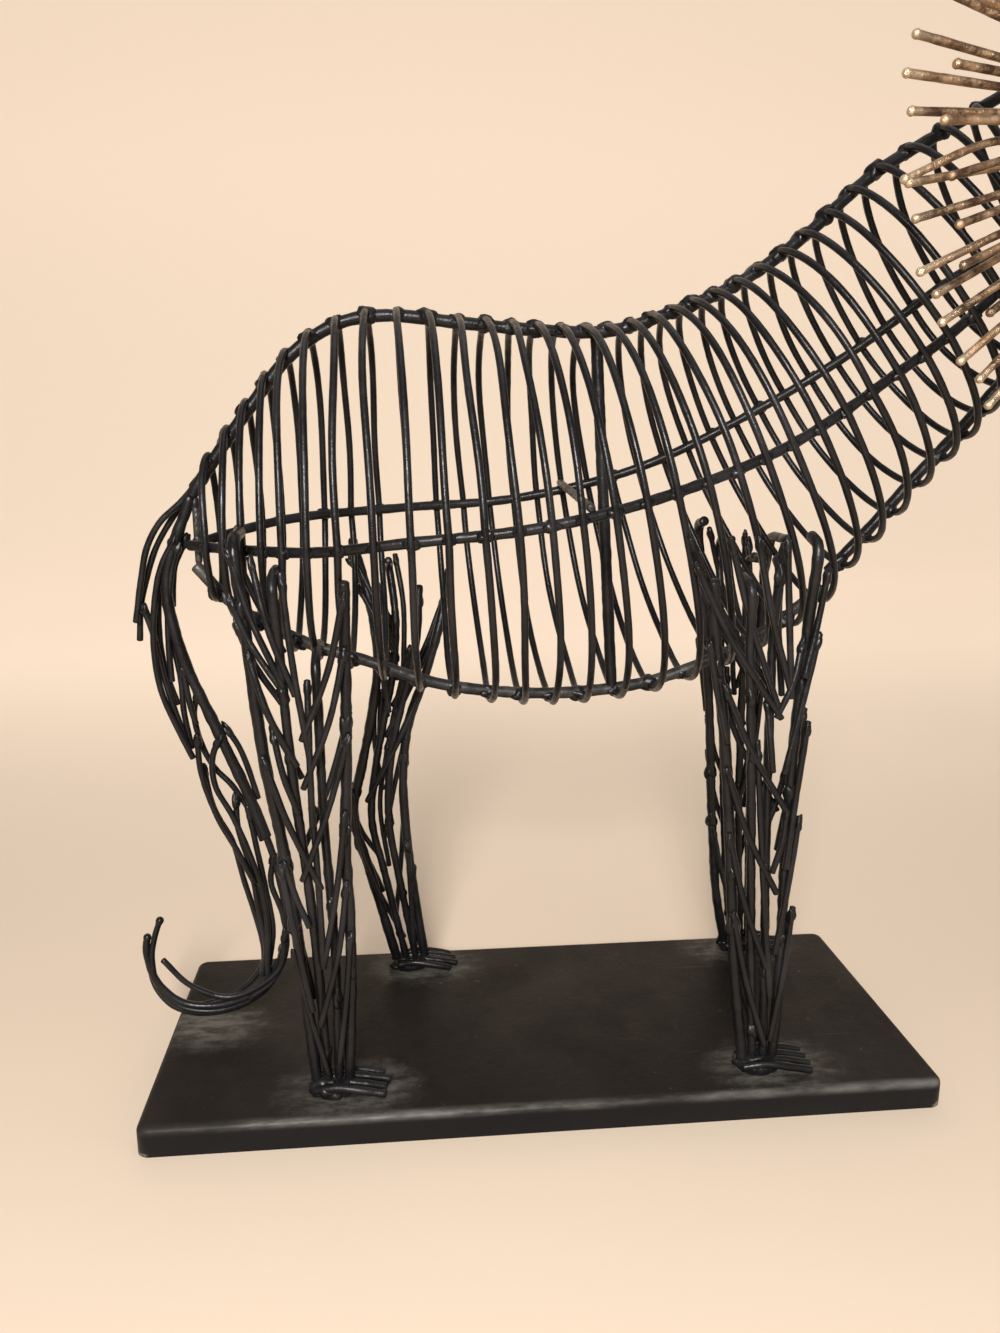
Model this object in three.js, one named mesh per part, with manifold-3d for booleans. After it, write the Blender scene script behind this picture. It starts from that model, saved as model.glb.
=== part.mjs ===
import * as THREE from "three";
import { mergeVertices } from "three/addons/utils/BufferGeometryUtils.js";
import Module from "manifold-3d";

// A lion of welded steel wire on a sheet-steel plinth, in millimetres, +Z up, head towards +X.
// The origin is under the middle of the plinth until the last lines move it to the middle of the whole work.

// Plinth: a shallow tray of folded sheet, open below
const PLINTH_LENGTH = 400;
const PLINTH_WIDTH = 160;
const PLINTH_HEIGHT = 15;
const PLINTH_SHEET = 2;
const PLINTH_BEND = 3;

// The animal, measured between the centrelines of its rods, with its feet set in from the plinth's edges
const BODY_LENGTH = 340;
const BACK_HEIGHT = 375;
const BODY_HALF_WIDTH = 72;
const STANCE_INSET = 20;

// Radii of the round bars and wires
const SPINE_RADIUS = 3;
const BELLY_RADIUS = 3;
const RAIL_RADIUS = 2.5;
const POST_RADIUS = 3;
const BRACE_RADIUS = 2;
const RIB_RADIUS = 1.8;
const LEG_ROD_RADIUS = 2.6;
const LEG_WIRE_RADIUS = 1.4;
const TOE_RADIUS = 1.7;
const TAIL_ROD_RADIUS = 2.5;
const TAIL_WIRE_RADIUS = 1.5;
const RING_RADIUS = 2.4;
const MANE_RADIUS = 1.8;
const FACE_RADIUS = 1.8;
const WEB_PLATE = 3;

// Mane: two rings of straight rods that stand out round the face
const MANE_OUTER_REACH = 168;
const MANE_INNER_REACH = 143;
const MANE_OUTER_COUNT = 60;
const MANE_INNER_COUNT = 30;
const MANE_OUTER_LIFT = 6;
const MANE_INNER_LIFT = 16;
const HEAD_RADIUS = 46;
const FACE_RADIUS_SHARE = 0.9;
const FACE_DEPTH = 56;
const FACE_TURN = THREE.MathUtils.degToRad(85);

// Feet
const FOOT_LENGTH = 34;
const FOOT_WIDTH = 20;
const HEEL_HEIGHT = 9;
const TOE_COUNT = 4;

// Wires laid across each leg and along the tail
const LEG_DEPTH = 6;
const LEG_WIRE_COUNT = 7;
const TAIL_WIRE_COUNT = 7;
const TAIL_SPREAD = 12;

// What touches is welded in the real work and keeps this gap here. The slacks add to it where bent wires
// are drawn with few corners.
const WELD_GAP = 0.3;
const RIB_SLACK = 0.5;
const NECK_RIB_SLACK = 1.5;
const LEG_SLACK = 1;

// Flats of the polygon that stands for a round section
const ROD_SIDE_COUNT = 5;
const BAR_SIDE_COUNT = 4;
const WIRE_SIDE_COUNT = 3;

const STEEL = { color: 0x2b2b2d, roughness: 0.55, metalness: 0.3 };
const BARE_STEEL = { color: 0x74716c, roughness: 0.5, metalness: 0.7 };
const BRONZE = { color: 0x9a7448, roughness: 0.4, metalness: 0.8 };
const PLINTH_PAINT = { color: 0x242120, roughness: 0.6, metalness: 0.2 };

const wasm = await Module();
wasm.setup();

// The pose is drawn on an animal of these sizes and stretches with the sizes above.
const DRAWN = { length: 340, height: 375, halfWidth: 72 };

function at(x, y, z) {
  return new THREE.Vector3(
    (x * BODY_LENGTH) / DRAWN.length,
    (y * BODY_HALF_WIDTH) / DRAWN.halfWidth,
    PLINTH_HEIGHT + (z * BACK_HEIGHT) / DRAWN.height,
  );
}

function drawnX(point) {
  return (point.x * DRAWN.length) / BODY_LENGTH;
}

function smooth(points) {
  return new THREE.CatmullRomCurve3(points);
}

function straight(from, to) {
  return new THREE.LineCurve3(from, to);
}

// A value that changes steadily between the listed [x, value] pairs
function between(pairs, x) {
  if (x <= pairs[0][0]) return pairs[0][1];
  for (let i = 1; i < pairs.length; i += 1) {
    const [x1, v1] = pairs[i];
    const [x0, v0] = pairs[i - 1];
    if (x <= x1) return v0 + ((v1 - v0) * (x - x0)) / (x1 - x0);
  }
  return pairs[pairs.length - 1][1];
}

// Turns by this angle never fall into step, so the wobble jumps about between -1 and 1 as i counts up
const GOLDEN_ANGLE = Math.PI * (3 - Math.sqrt(5));

function wobble(i) {
  return Math.sin(i * GOLDEN_ANGLE);
}

// Half the side of the square wire that has the same section as a round one
function halfSide(radius) {
  return (Math.sqrt(Math.PI) * radius) / 2;
}

// Corner radius of the regular bar that has the same section as a round one
function cornerRadius(radius, sides) {
  return radius * Math.sqrt((2 * Math.PI) / (sides * Math.sin((2 * Math.PI) / sides)));
}

// Head: it looks to the near side. Right and up are as a viewer in front of the face sees them.
const headCentre = at(302, -60, 453);
const faceForward = new THREE.Vector3(Math.cos(FACE_TURN), -Math.sin(FACE_TURN), 0);
const faceRight = new THREE.Vector3(Math.sin(FACE_TURN), Math.cos(FACE_TURN), 0);

function onHead(right, up, forward) {
  const point = headCentre.clone();
  point.addScaledVector(faceRight, right);
  point.addScaledVector(faceForward, forward);
  point.z += up;
  return point;
}

// Where a rod ends on the back of the mane's rear ring, at an angle round it
function ontoRing(degrees, radius) {
  const angle = THREE.MathUtils.degToRad(degrees);
  const back = halfSide(MANE_RADIUS) + cornerRadius(radius, ROD_SIDE_COUNT) + WELD_GAP;
  return onHead(HEAD_RADIUS * Math.cos(angle), HEAD_RADIUS * Math.sin(angle), -back);
}

// Long rods of the body, drawn as x, y and height above the plinth
const spine = smooth([
  at(-170, 0, 291), at(-156, 0, 311), at(-141, 0, 331), at(-119, 0, 357), at(-97, 0, 371),
  at(-75, 0, 375), at(-38, 0, 372), at(0, 0, 369), at(34, 0, 369), at(68, 0, 379),
  at(98, 0, 392), at(130, 0, 414), at(163, 0, 443), at(199, 0, 464), at(228, -1, 481),
  at(256, -12, 491), at(280, -33, 497), ontoRing(90, SPINE_RADIUS),
]);
const belly = smooth([
  at(-170, 0, 256), at(-152, 0, 236), at(-121, 0, 218), at(-89, 0, 207), at(-52, 0, 194),
  at(-10, 0, 188), at(27, 0, 188), at(62, 0, 193), at(98, 0, 206), at(124, 0, 220), at(151, 0, 241),
]);
const throat = smooth([
  at(154, 0, 250), at(173, 0, 270), at(198, 0, 299), at(219, 0, 322), at(238, -1, 345),
  at(258, -10, 370), at(280, -33, 394), ontoRing(-90, BELLY_RADIUS),
]);
const nearRail = smooth([
  at(-171, -6, 267), at(-145, -29, 267), at(-106, -55, 268), at(-66, -68, 273), at(-5, -72, 280),
  at(53, -66, 294), at(111, -54, 316), at(164, -44, 349), at(188, -39, 365), at(212, -37, 386),
  at(236, -42, 414), ontoRing(200, RAIL_RADIUS),
]);
const farRail = smooth([
  at(-171, 6, 267), at(-128, 42, 276), at(-69, 67, 280), at(-1, 72, 285), at(66, 63, 302),
  at(130, 51, 334), at(177, 41, 364), at(224, 32, 400), at(262, 21, 424), at(305, -8, 442),
  ontoRing(0, RAIL_RADIUS),
]);

// The share of a curve's length up to which a test holds
const HALVING_COUNT = 30;

function shareUntil(curve, before) {
  let low = 0;
  let high = 1;
  for (let i = 0; i < HALVING_COUNT; i += 1) {
    const middle = (low + high) / 2;
    if (before(curve.getPointAt(middle))) low = middle;
    else high = middle;
  }
  return (low + high) / 2;
}

// Where a curve that always runs forward passes a given x
function shareAtX(curve, x) {
  return shareUntil(curve, (point) => point.x < x);
}

// Where a curve passes the leaning plane that goes down from a point of the spine
function shareAtPlane(curve, top, lean) {
  return shareUntil(curve, (point) => point.x - top.x < Math.tan(lean) * (top.z - point.z));
}

// Ribs: their lean against x as drawn, forward at the foot, and how far each is along the spine from the one
// before, against its number. Only the proportions of the steps count, as the ends are set by x.
const RIB_LEAN = [[-110, 0], [-60, 3], [0, 7.5], [35, 15], [87, 30], [125, 37], [200, 38]];
const RIB_STEPS = [[2, 16.2], [6, 14.7], [9, 14.8], [14, 11.8], [20, 10.7], [25, 14], [29, 17]];
const FIRST_RIB_X = -161;
const LAST_LEANING_RIB_X = 178.6;
const LEANING_RIB_COUNT = 30;
const NECK_RIB_COUNT = 6;
const BARE_NECK_COUNT = 2;
const QUARTER_RIB_BEND_COUNT = 3;

function leanBelow(top) {
  return THREE.MathUtils.degToRad(between(RIB_LEAN, drawnX(top)));
}

// A rib that hangs from a share of the spine, as shares of the four rods that it rounds
function leaningRib(share) {
  const top = spine.getPointAt(share);
  const lean = leanBelow(top);
  const bellyEnd = belly.getPointAt(1);
  const pastBelly = top.x + Math.tan(lean) * (top.z - bellyEnd.z) > bellyEnd.x;
  const lower = pastBelly ? throat : belly;
  return {
    top: share,
    near: shareAtPlane(nearRail, top, lean),
    far: shareAtPlane(farRail, top, lean),
    bottom: shareAtPlane(lower, top, lean),
    lower,
    slack: RIB_SLACK,
  };
}

function allRibs() {
  const runs = [0];
  for (let i = 1; i < LEANING_RIB_COUNT; i += 1) runs.push(runs[i - 1] + between(RIB_STEPS, i));
  const first = shareAtX(spine, at(FIRST_RIB_X, 0, 0).x);
  const stretch = shareAtX(spine, at(LAST_LEANING_RIB_X, 0, 0).x) - first;
  const ribs = runs.map((run) => leaningRib(first + (stretch * run) / runs[runs.length - 1]));
  const last = ribs[ribs.length - 1];
  for (let i = 1; i <= NECK_RIB_COUNT; i += 1) {
    const step = i / (NECK_RIB_COUNT + BARE_NECK_COUNT);
    const onward = (share) => share + (1 - share) * step;
    ribs.push({
      top: onward(last.top),
      near: onward(last.near),
      far: onward(last.far),
      bottom: onward(last.bottom),
      lower: throat,
      slack: NECK_RIB_SLACK,
    });
  }
  return ribs;
}

// The middle of a rib and the arms from it to the wire where that rounds each rod
function ribArms(rib) {
  const near = nearRail.getPointAt(rib.near);
  const far = farRail.getPointAt(rib.far);
  const centre = near.clone().add(far).multiplyScalar(0.5);
  const armTo = (curve, share, radius) => {
    const arm = curve.getPointAt(share).sub(centre);
    const slant = Math.abs(curve.getTangentAt(share).dot(arm.clone().normalize()));
    const upright = Math.sqrt(1 - slant * slant);
    const half = halfSide(RIB_RADIUS);
    const clear = (cornerRadius(radius, ROD_SIDE_COUNT) + half * slant) / upright + half;
    return arm.setLength(arm.length() + clear + WELD_GAP + rib.slack);
  };
  return {
    centre,
    arms: [
      armTo(spine, rib.top, SPINE_RADIUS),
      armTo(nearRail, rib.near, RAIL_RADIUS),
      armTo(rib.lower, rib.bottom, BELLY_RADIUS),
      armTo(farRail, rib.far, RAIL_RADIUS),
    ],
  };
}

// Corners of one rib, with a quarter of an oval between each two arms
function ribPath(rib) {
  const { centre, arms } = ribArms(rib);
  const path = [];
  arms.forEach((from, quarter) => {
    const to = arms[(quarter + 1) % arms.length];
    for (let i = 0; i < QUARTER_RIB_BEND_COUNT; i += 1) {
      const angle = (i * Math.PI) / 2 / QUARTER_RIB_BEND_COUNT;
      const point = centre.clone();
      point.addScaledVector(from, Math.cos(angle));
      point.addScaledVector(to, Math.sin(angle));
      path.push(point);
    }
  });
  return path;
}

// A closed loop of square wire through the given points, its flats square to the loop's own plane
function loopGeometry(path, radius) {
  const count = path.length;
  const across = new THREE.Vector3();
  path.forEach((point, i) => {
    across.add(point.clone().cross(path[(i + 1) % count]));
  });
  across.normalize();
  const half = halfSide(radius);
  const corners = [];
  const faces = [];
  path.forEach((point, i) => {
    const before = path[(i + count - 1) % count];
    const after = path[(i + 1) % count];
    const along = after.clone().sub(before).normalize();
    const outward = along.clone().cross(across).normalize();
    for (const [a, b] of [[1, 1], [1, -1], [-1, -1], [-1, 1]]) {
      const corner = point.clone().addScaledVector(outward, a * half).addScaledVector(across, b * half);
      corners.push(corner.x, corner.y, corner.z);
    }
    const next = ((i + 1) % count) * 4;
    for (let side = 0; side < 4; side += 1) {
      const p = i * 4 + side;
      const q = i * 4 + ((side + 1) % 4);
      const r = next + ((side + 1) % 4);
      const s = next + side;
      faces.push(p, q, r, p, r, s);
    }
  });
  const geometry = new THREE.BufferGeometry();
  geometry.setAttribute("position", new THREE.Float32BufferAttribute(corners, 3));
  geometry.setIndex(faces);
  return geometry;
}

// An open bar of regular section along a curve
function barGeometry(curve, radius, sides, steps) {
  const section = new THREE.Shape();
  const corner = cornerRadius(radius, sides);
  for (let i = 0; i < sides; i += 1) {
    const angle = ((i + 0.5) * 2 * Math.PI) / sides;
    const x = corner * Math.cos(angle);
    const y = corner * Math.sin(angle);
    if (i === 0) section.moveTo(x, y);
    else section.lineTo(x, y);
  }
  section.closePath();
  return new THREE.ExtrudeGeometry(section, { steps, extrudePath: curve, bevelEnabled: false });
}

// Joining and cutting
function solidOf(geometry) {
  const plain = geometry.clone();
  plain.deleteAttribute("normal");
  plain.deleteAttribute("uv");
  const merged = mergeVertices(plain, 1e-3);
  return new wasm.Manifold(
    new wasm.Mesh({
      numProp: 3,
      vertProperties: merged.attributes.position.array,
      triVerts: new Uint32Array(merged.index.array),
    }),
  );
}

function geometryOf(solid) {
  const mesh = solid.getMesh();
  const geometry = new THREE.BufferGeometry();
  geometry.setAttribute("position", new THREE.BufferAttribute(mesh.vertProperties, 3));
  geometry.setIndex(new THREE.BufferAttribute(mesh.triVerts, 1));
  return geometry;
}

function fused(geometries) {
  return geometryOf(geometries.map(solidOf).reduce((sum, solid) => sum.add(solid)));
}

const lion = new THREE.Group();

function addMesh(name, geometry, finish) {
  const mesh = new THREE.Mesh(geometry, new THREE.MeshStandardMaterial(finish));
  mesh.name = name;
  lion.add(mesh);
}

// Plinth
function roundedOutline(length, width, radius) {
  const shape = new THREE.Shape();
  const x = length / 2 - radius;
  const y = width / 2 - radius;
  shape.moveTo(-x, -y - radius);
  shape.lineTo(x, -y - radius);
  shape.absarc(x, -y, radius, -Math.PI / 2, 0, false);
  shape.lineTo(x + radius, y);
  shape.absarc(x, y, radius, 0, Math.PI / 2, false);
  shape.lineTo(-x, y + radius);
  shape.absarc(-x, y, radius, Math.PI / 2, Math.PI, false);
  shape.lineTo(-x - radius, -y);
  shape.absarc(-x, -y, radius, Math.PI, 1.5 * Math.PI, false);
  return shape;
}

function addPlinth() {
  const bend = Math.min(PLINTH_BEND, PLINTH_HEIGHT - PLINTH_SHEET);
  const block = new THREE.ExtrudeGeometry(
    roundedOutline(PLINTH_LENGTH - 2 * bend, PLINTH_WIDTH - 2 * bend, bend),
    {
      depth: PLINTH_HEIGHT - bend,
      bevelEnabled: true,
      bevelThickness: bend,
      bevelSize: bend,
      bevelSegments: 2,
      curveSegments: 2,
    },
  );
  const below = new THREE.BoxGeometry(2 * PLINTH_LENGTH, 2 * PLINTH_WIDTH, 2 * bend);
  below.translate(0, 0, -bend);
  const hollow = new THREE.ExtrudeGeometry(
    roundedOutline(PLINTH_LENGTH - 2 * PLINTH_SHEET, PLINTH_WIDTH - 2 * PLINTH_SHEET, bend),
    { depth: 2 * PLINTH_HEIGHT, bevelEnabled: false, curveSegments: 1 },
  );
  hollow.translate(0, 0, -PLINTH_SHEET - PLINTH_HEIGHT);
  const tray = solidOf(block).subtract(solidOf(below)).subtract(solidOf(hollow));
  addMesh("plinth", geometryOf(tray), PLINTH_PAINT);
}

// Long rods, centre post and brace
const POST_TOP_X = 28;
const POST_FOOT_X = 40;
const BRACE_NEAR_X = 14;
const BRACE_FAR_X = 22;

function pointAtDrawnX(curve, x) {
  return curve.getPointAt(shareAtX(curve, at(x, 0, 0).x));
}

const SPINE_BEND_COUNT = 28;
const RAIL_BEND_COUNT = 20;
const BELLY_BEND_COUNT = 12;
const THROAT_BEND_COUNT = 10;

function addRods() {
  addMesh("spine_rod", barGeometry(spine, SPINE_RADIUS, ROD_SIDE_COUNT, SPINE_BEND_COUNT), STEEL);
  addMesh("belly_rod", barGeometry(belly, BELLY_RADIUS, ROD_SIDE_COUNT, BELLY_BEND_COUNT), BARE_STEEL);
  addMesh("throat_rod", barGeometry(throat, BELLY_RADIUS, ROD_SIDE_COUNT, THROAT_BEND_COUNT), STEEL);
  addMesh("side_rail_near", barGeometry(nearRail, RAIL_RADIUS, ROD_SIDE_COUNT, RAIL_BEND_COUNT), STEEL);
  addMesh("side_rail_far", barGeometry(farRail, RAIL_RADIUS, ROD_SIDE_COUNT, RAIL_BEND_COUNT), STEEL);
}

function addPost() {
  const slope = 2 * WELD_GAP;
  const top = pointAtDrawnX(spine, POST_TOP_X);
  const foot = pointAtDrawnX(belly, POST_FOOT_X);
  top.z -= cornerRadius(SPINE_RADIUS, ROD_SIDE_COUNT) + WELD_GAP + slope;
  foot.z += cornerRadius(BELLY_RADIUS, ROD_SIDE_COUNT) + WELD_GAP + slope;
  addMesh("centre_post", barGeometry(straight(top, foot), POST_RADIUS, ROD_SIDE_COUNT, 1), STEEL);
}

function addBrace() {
  const rest =
    cornerRadius(RAIL_RADIUS, ROD_SIDE_COUNT) + cornerRadius(BRACE_RADIUS, ROD_SIDE_COUNT) + 2 * WELD_GAP;
  const near = pointAtDrawnX(nearRail, BRACE_NEAR_X);
  const far = pointAtDrawnX(farRail, BRACE_FAR_X);
  near.z += rest;
  far.z += rest;
  addMesh("cross_brace", barGeometry(straight(far, near), BRACE_RADIUS, ROD_SIDE_COUNT, 1), BARE_STEEL);
}

// A narrow web plate closes the rump between the rear ends of the spine and belly rods.
function addRumpPlate() {
  const width = SPINE_RADIUS;
  const above = cornerRadius(SPINE_RADIUS, ROD_SIDE_COUNT) + WELD_GAP;
  const below = cornerRadius(BELLY_RADIUS, ROD_SIDE_COUNT) + WELD_GAP;
  const top = spine.getPointAt(0);
  const foot = belly.getPointAt(0);
  const rise = Math.abs(spine.getTangentAt(0).z / spine.getTangentAt(0).x);
  const fall = Math.abs(belly.getTangentAt(0).z / belly.getTangentAt(0).x);
  const topEdge = top.z - above * Math.hypot(1, rise);
  const footEdge = foot.z + below * Math.hypot(1, fall);
  const shape = new THREE.Shape();
  shape.moveTo(top.x, topEdge);
  shape.lineTo(foot.x, footEdge);
  shape.lineTo(foot.x + width, footEdge - width * fall);
  shape.lineTo(top.x + width, topEdge + width * rise);
  shape.closePath();
  const plate = new THREE.ExtrudeGeometry(shape, { depth: WEB_PLATE, bevelEnabled: false });
  plate.rotateX(Math.PI / 2);
  plate.translate(0, WEB_PLATE / 2, 0);
  addMesh("rump_plate", plate, BARE_STEEL);
}

function addRibs() {
  allRibs().forEach((rib, i) => {
    const name = "rib_" + String(i + 1).padStart(2, "0");
    addMesh(name, loopGeometry(ribPath(rib), RIB_RADIUS), STEEL);
  });
}

// How far the cage of ribs stands out from the middle plane at a place beside it
function cageHalfWidth(x, z, side) {
  const share = shareUntil(spine, (top) => top.x + Math.tan(leanBelow(top)) * (top.z - z) < x);
  const { centre, arms } = ribArms(leaningRib(share));
  const [top, near, bottom, far] = arms;
  const rise = (z - centre.z) / (z > centre.z ? top.z : bottom.z);
  if (rise >= 1) return 0;
  const reach = Math.abs(centre.y + (side < 0 ? near.y : far.y));
  return reach * Math.sqrt(1 - rise * rise) + halfSide(RIB_RADIUS);
}

// Legs: the rearmost and the foremost rod of each, from its top down, as x and height above the plinth
const LEGS = {
  leg_hind_near: {
    side: -1,
    stand: 0.95,
    rear: [[-142, 272], [-138, 222], [-134, 176], [-127, 129], [-122, 80], [-116, 5]],
    front: [[-94, 256], [-95, 225], [-96, 176], [-98, 128], [-97, 81], [-100, 5]],
  },
  leg_hind_far: {
    side: 1,
    stand: 1.03,
    rear: [[-96, 258], [-84, 206], [-91, 146], [-101, 103], [-95, 75], [-77, 5]],
    front: [[-41, 246], [-53, 195], [-66, 160], [-71, 122], [-69, 80], [-60, 5]],
  },
  leg_fore_near: {
    side: -1,
    stand: 0.97,
    rear: [[66, 282], [75, 233], [83, 180], [89, 120], [94, 60], [101, 5]],
    front: [[122, 272], [121, 235], [118, 180], [117, 120], [118, 60], [117, 5]],
  },
  leg_fore_far: {
    side: 1,
    stand: 1.1,
    rear: [[104, 268], [110, 202], [115, 154], [118, 106], [125, 34], [131, 5]],
    front: [[145, 262], [143, 200], [142, 154], [143, 105], [146, 33], [147, 5]],
  },
};
const LEG_RODS = [
  { across: 0, out: 0, from: 0 },
  { across: 0.34, out: 1, from: 0.03 },
  { across: 0.68, out: -1, from: 0.06 },
  { across: 1, out: 0, from: 0.01 },
];
const LEG_BEND_COUNT = 8;

// How far a leg is from the middle plane: its hip keeps to the body and its foot to the plinth
const HIP_SHARE = 0.833;

function standOf(leg, down) {
  const hip = BODY_HALF_WIDTH * HIP_SHARE;
  const foot = PLINTH_WIDTH / 2 - STANCE_INSET;
  return leg.stand * (hip + (foot - hip) * down);
}

// Rather more than the larger of two distances, so that a rod bends round the cage without a kink
const EASE = 10;

function easedMax(a, b) {
  return (a ** EASE + b ** EASE) ** (1 / EASE);
}

// A place on a leg: how far across it from the rear rod, how far down it, and how far out of it
function legPoint(leg, across, down, out) {
  const point = leg.rearRod.getPointAt(down).lerp(leg.frontRod.getPointAt(down), across);
  const cage = cageHalfWidth(point.x, point.z, leg.side);
  const beside = cage > 0 ? cage + cornerRadius(LEG_ROD_RADIUS, BAR_SIDE_COUNT) + WELD_GAP + LEG_SLACK : 0;
  point.y = leg.side * easedMax(standOf(leg, down) + out, beside + Math.max(out, 0));
  return point;
}

function legRod(leg, rod) {
  const points = [];
  for (let i = 0; i <= LEG_BEND_COUNT; i += 1) {
    const run = i / LEG_BEND_COUNT;
    const down = rod.from + (1 - rod.from) * run;
    points.push(legPoint(leg, rod.across, down, rod.out * LEG_DEPTH * (1 - run)));
  }
  return barGeometry(smooth(points), LEG_ROD_RADIUS, BAR_SIDE_COUNT, LEG_BEND_COUNT);
}

// A short wire from one edge rod across the leg to just past the other, over all the rods between
const FIRST_WIRE_SHARE = 0.05;
const WIRE_ROOTS_SHARE = 0.66;
const WIRE_FALL_SHARE = 0.23;
const FALL_CHANGE_SHARE = 0.03;
const WIRE_OVERRUN_SHARE = 0.1;

function legWire(leg, i) {
  const forward = i % 2 === 0;
  const start = FIRST_WIRE_SHARE + (WIRE_ROOTS_SHARE * i) / (LEG_WIRE_COUNT - 1);
  const fall = WIRE_FALL_SHARE + FALL_CHANGE_SHARE * wobble(i);
  const clear = LEG_ROD_RADIUS + LEG_WIRE_RADIUS + (forward ? 1 : 1 + 2 * LEG_WIRE_RADIUS);
  const from = forward ? 0 : 1;
  const to = forward ? 1 + WIRE_OVERRUN_SHARE : -WIRE_OVERRUN_SHARE;
  const points = [
    legPoint(leg, from, start, 0),
    legPoint(leg, (from + to) / 2, start + fall / 2, clear + LEG_DEPTH * (1 - start)),
    legPoint(leg, to, start + fall, clear),
  ];
  return barGeometry(smooth(points), LEG_WIRE_RADIUS, WIRE_SIDE_COUNT, 2);
}

// A foot: a mound of weld round the ends of the rods, and toes that lie side by side on the plinth.
// Each toe is drawn as shares of its reach and of the foot's breadth, and its rise in radii of the wire.
const MOUND_SIDE_COUNT = 6;
const MOUND_TOP_SHARE = 0.34;
const MOUND_BASE_SHARE = 0.55;
const MIDDLE_TOE_SHARE = 0.8;
const OUTER_TOE_LOSS_SHARE = 0.3;
const TOE_CURVE = [[0, 0.7, 1.5], [0.45, 1, 1.8], [1, 1, 0]];

function footGeometry(leg) {
  const rear = leg.rearRod.getPointAt(1);
  const front = leg.frontRod.getPointAt(1);
  const centre = rear.clone().lerp(front, 0.5);
  centre.y = leg.side * standOf(leg, 1);
  const ground = PLINTH_HEIGHT + WELD_GAP;
  const top = FOOT_WIDTH * MOUND_TOP_SHARE;
  const base = FOOT_WIDTH * MOUND_BASE_SHARE;
  const mound = new THREE.CylinderGeometry(top, base, HEEL_HEIGHT, MOUND_SIDE_COUNT);
  mound.rotateX(Math.PI / 2);
  mound.scale((front.x - rear.x + 4 * LEG_ROD_RADIUS) / FOOT_WIDTH, 1, 1);
  mound.translate(centre.x, centre.y, ground + HEEL_HEIGHT / 2);
  const pieces = [mound];
  const low = ground + cornerRadius(TOE_RADIUS, BAR_SIDE_COUNT);
  const breadth = FOOT_WIDTH - 2 * TOE_RADIUS;
  for (let i = 0; i < TOE_COUNT; i += 1) {
    const spread = i / (TOE_COUNT - 1) - 0.5;
    const reach = FOOT_LENGTH * (MIDDLE_TOE_SHARE - OUTER_TOE_LOSS_SHARE * spread * spread);
    const toe = TOE_CURVE.map(([run, broad, rise]) => {
      const y = centre.y + spread * breadth * broad;
      return new THREE.Vector3(centre.x + reach * run, y, low + TOE_RADIUS * rise);
    });
    pieces.push(barGeometry(smooth(toe), TOE_RADIUS, BAR_SIDE_COUNT, toe.length - 1));
  }
  return pieces;
}

function addLegs() {
  for (const [name, leg] of Object.entries(LEGS)) {
    leg.rearRod = smooth(leg.rear.map(([x, z]) => at(x, 0, z)));
    leg.frontRod = smooth(leg.front.map(([x, z]) => at(x, 0, z)));
    const pieces = LEG_RODS.map((rod) => legRod(leg, rod));
    for (let i = 0; i < LEG_WIRE_COUNT; i += 1) pieces.push(legWire(leg, i));
    addMesh(name, fused([...pieces, ...footGeometry(leg)]), STEEL);
  }
}

// Tail: a bent rod with wires laid along it, their ends standing off, and a hooked tuft
function tailRoot() {
  const along = spine.getTangentAt(0);
  return spine.getPointAt(0).addScaledVector(along, -TAIL_ROD_RADIUS / 2 - WELD_GAP);
}

const tailRod = smooth([
  tailRoot(), at(-185, 1, 250), at(-181, 1, 215), at(-166, 2, 168), at(-148, 2, 126),
  at(-138, 2, 90), at(-136, 3, 54), at(-146, 3, 27), at(-171, 4, 14), at(-193, 4, 16),
  at(-206, 4, 29), at(-211, 4, 50), at(-208, 4, 67),
]);
const TAIL_BEND_COUNT = 18;
const TAIL_FIRST_WIRE_SHARE = 0.06;
const TAIL_WIRE_ROOTS_SHARE = 0.6;
const TAIL_WIRE_SHARE = 0.2;
const TAIL_WIRE_RISE_SHARE = 0.05;
const TAIL_WIRE_BEND_SHARE = 0.7;
const TAIL_WIRE_BEND_COUNT = 3;

function besideTail(share, reach, turn) {
  const point = tailRod.getPointAt(share);
  const side = new THREE.Vector3(0, 1, 0);
  const out = tailRod.getTangentAt(share).cross(side).normalize();
  point.addScaledVector(out, reach * Math.cos(turn));
  point.addScaledVector(side, reach * Math.sin(turn));
  return point;
}

function addTail() {
  const pieces = [barGeometry(tailRod, TAIL_ROD_RADIUS, BAR_SIDE_COUNT, TAIL_BEND_COUNT)];
  for (let i = 0; i < TAIL_WIRE_COUNT; i += 1) {
    const start = TAIL_FIRST_WIRE_SHARE + (TAIL_WIRE_ROOTS_SHARE * i) / (TAIL_WIRE_COUNT - 1);
    const turn = i * GOLDEN_ANGLE;
    const wire = smooth([
      besideTail(start, 0, turn),
      besideTail(start + TAIL_WIRE_RISE_SHARE, TAIL_SPREAD * TAIL_WIRE_BEND_SHARE, turn),
      besideTail(start + TAIL_WIRE_SHARE, TAIL_SPREAD, turn),
    ]);
    pieces.push(barGeometry(wire, TAIL_WIRE_RADIUS, WIRE_SIDE_COUNT, TAIL_WIRE_BEND_COUNT));
  }
  addMesh("tail", fused(pieces), STEEL);
}

// Mane: each set of rods is one flat outline of a ring and the rods round it, lifted towards the tips.
const RING_SIDE_COUNT = 20;
const RING_STEP = 2 * halfSide(MANE_RADIUS) + WELD_GAP;
const MANE_UNEVEN_SHARE = 0.02;

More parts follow.
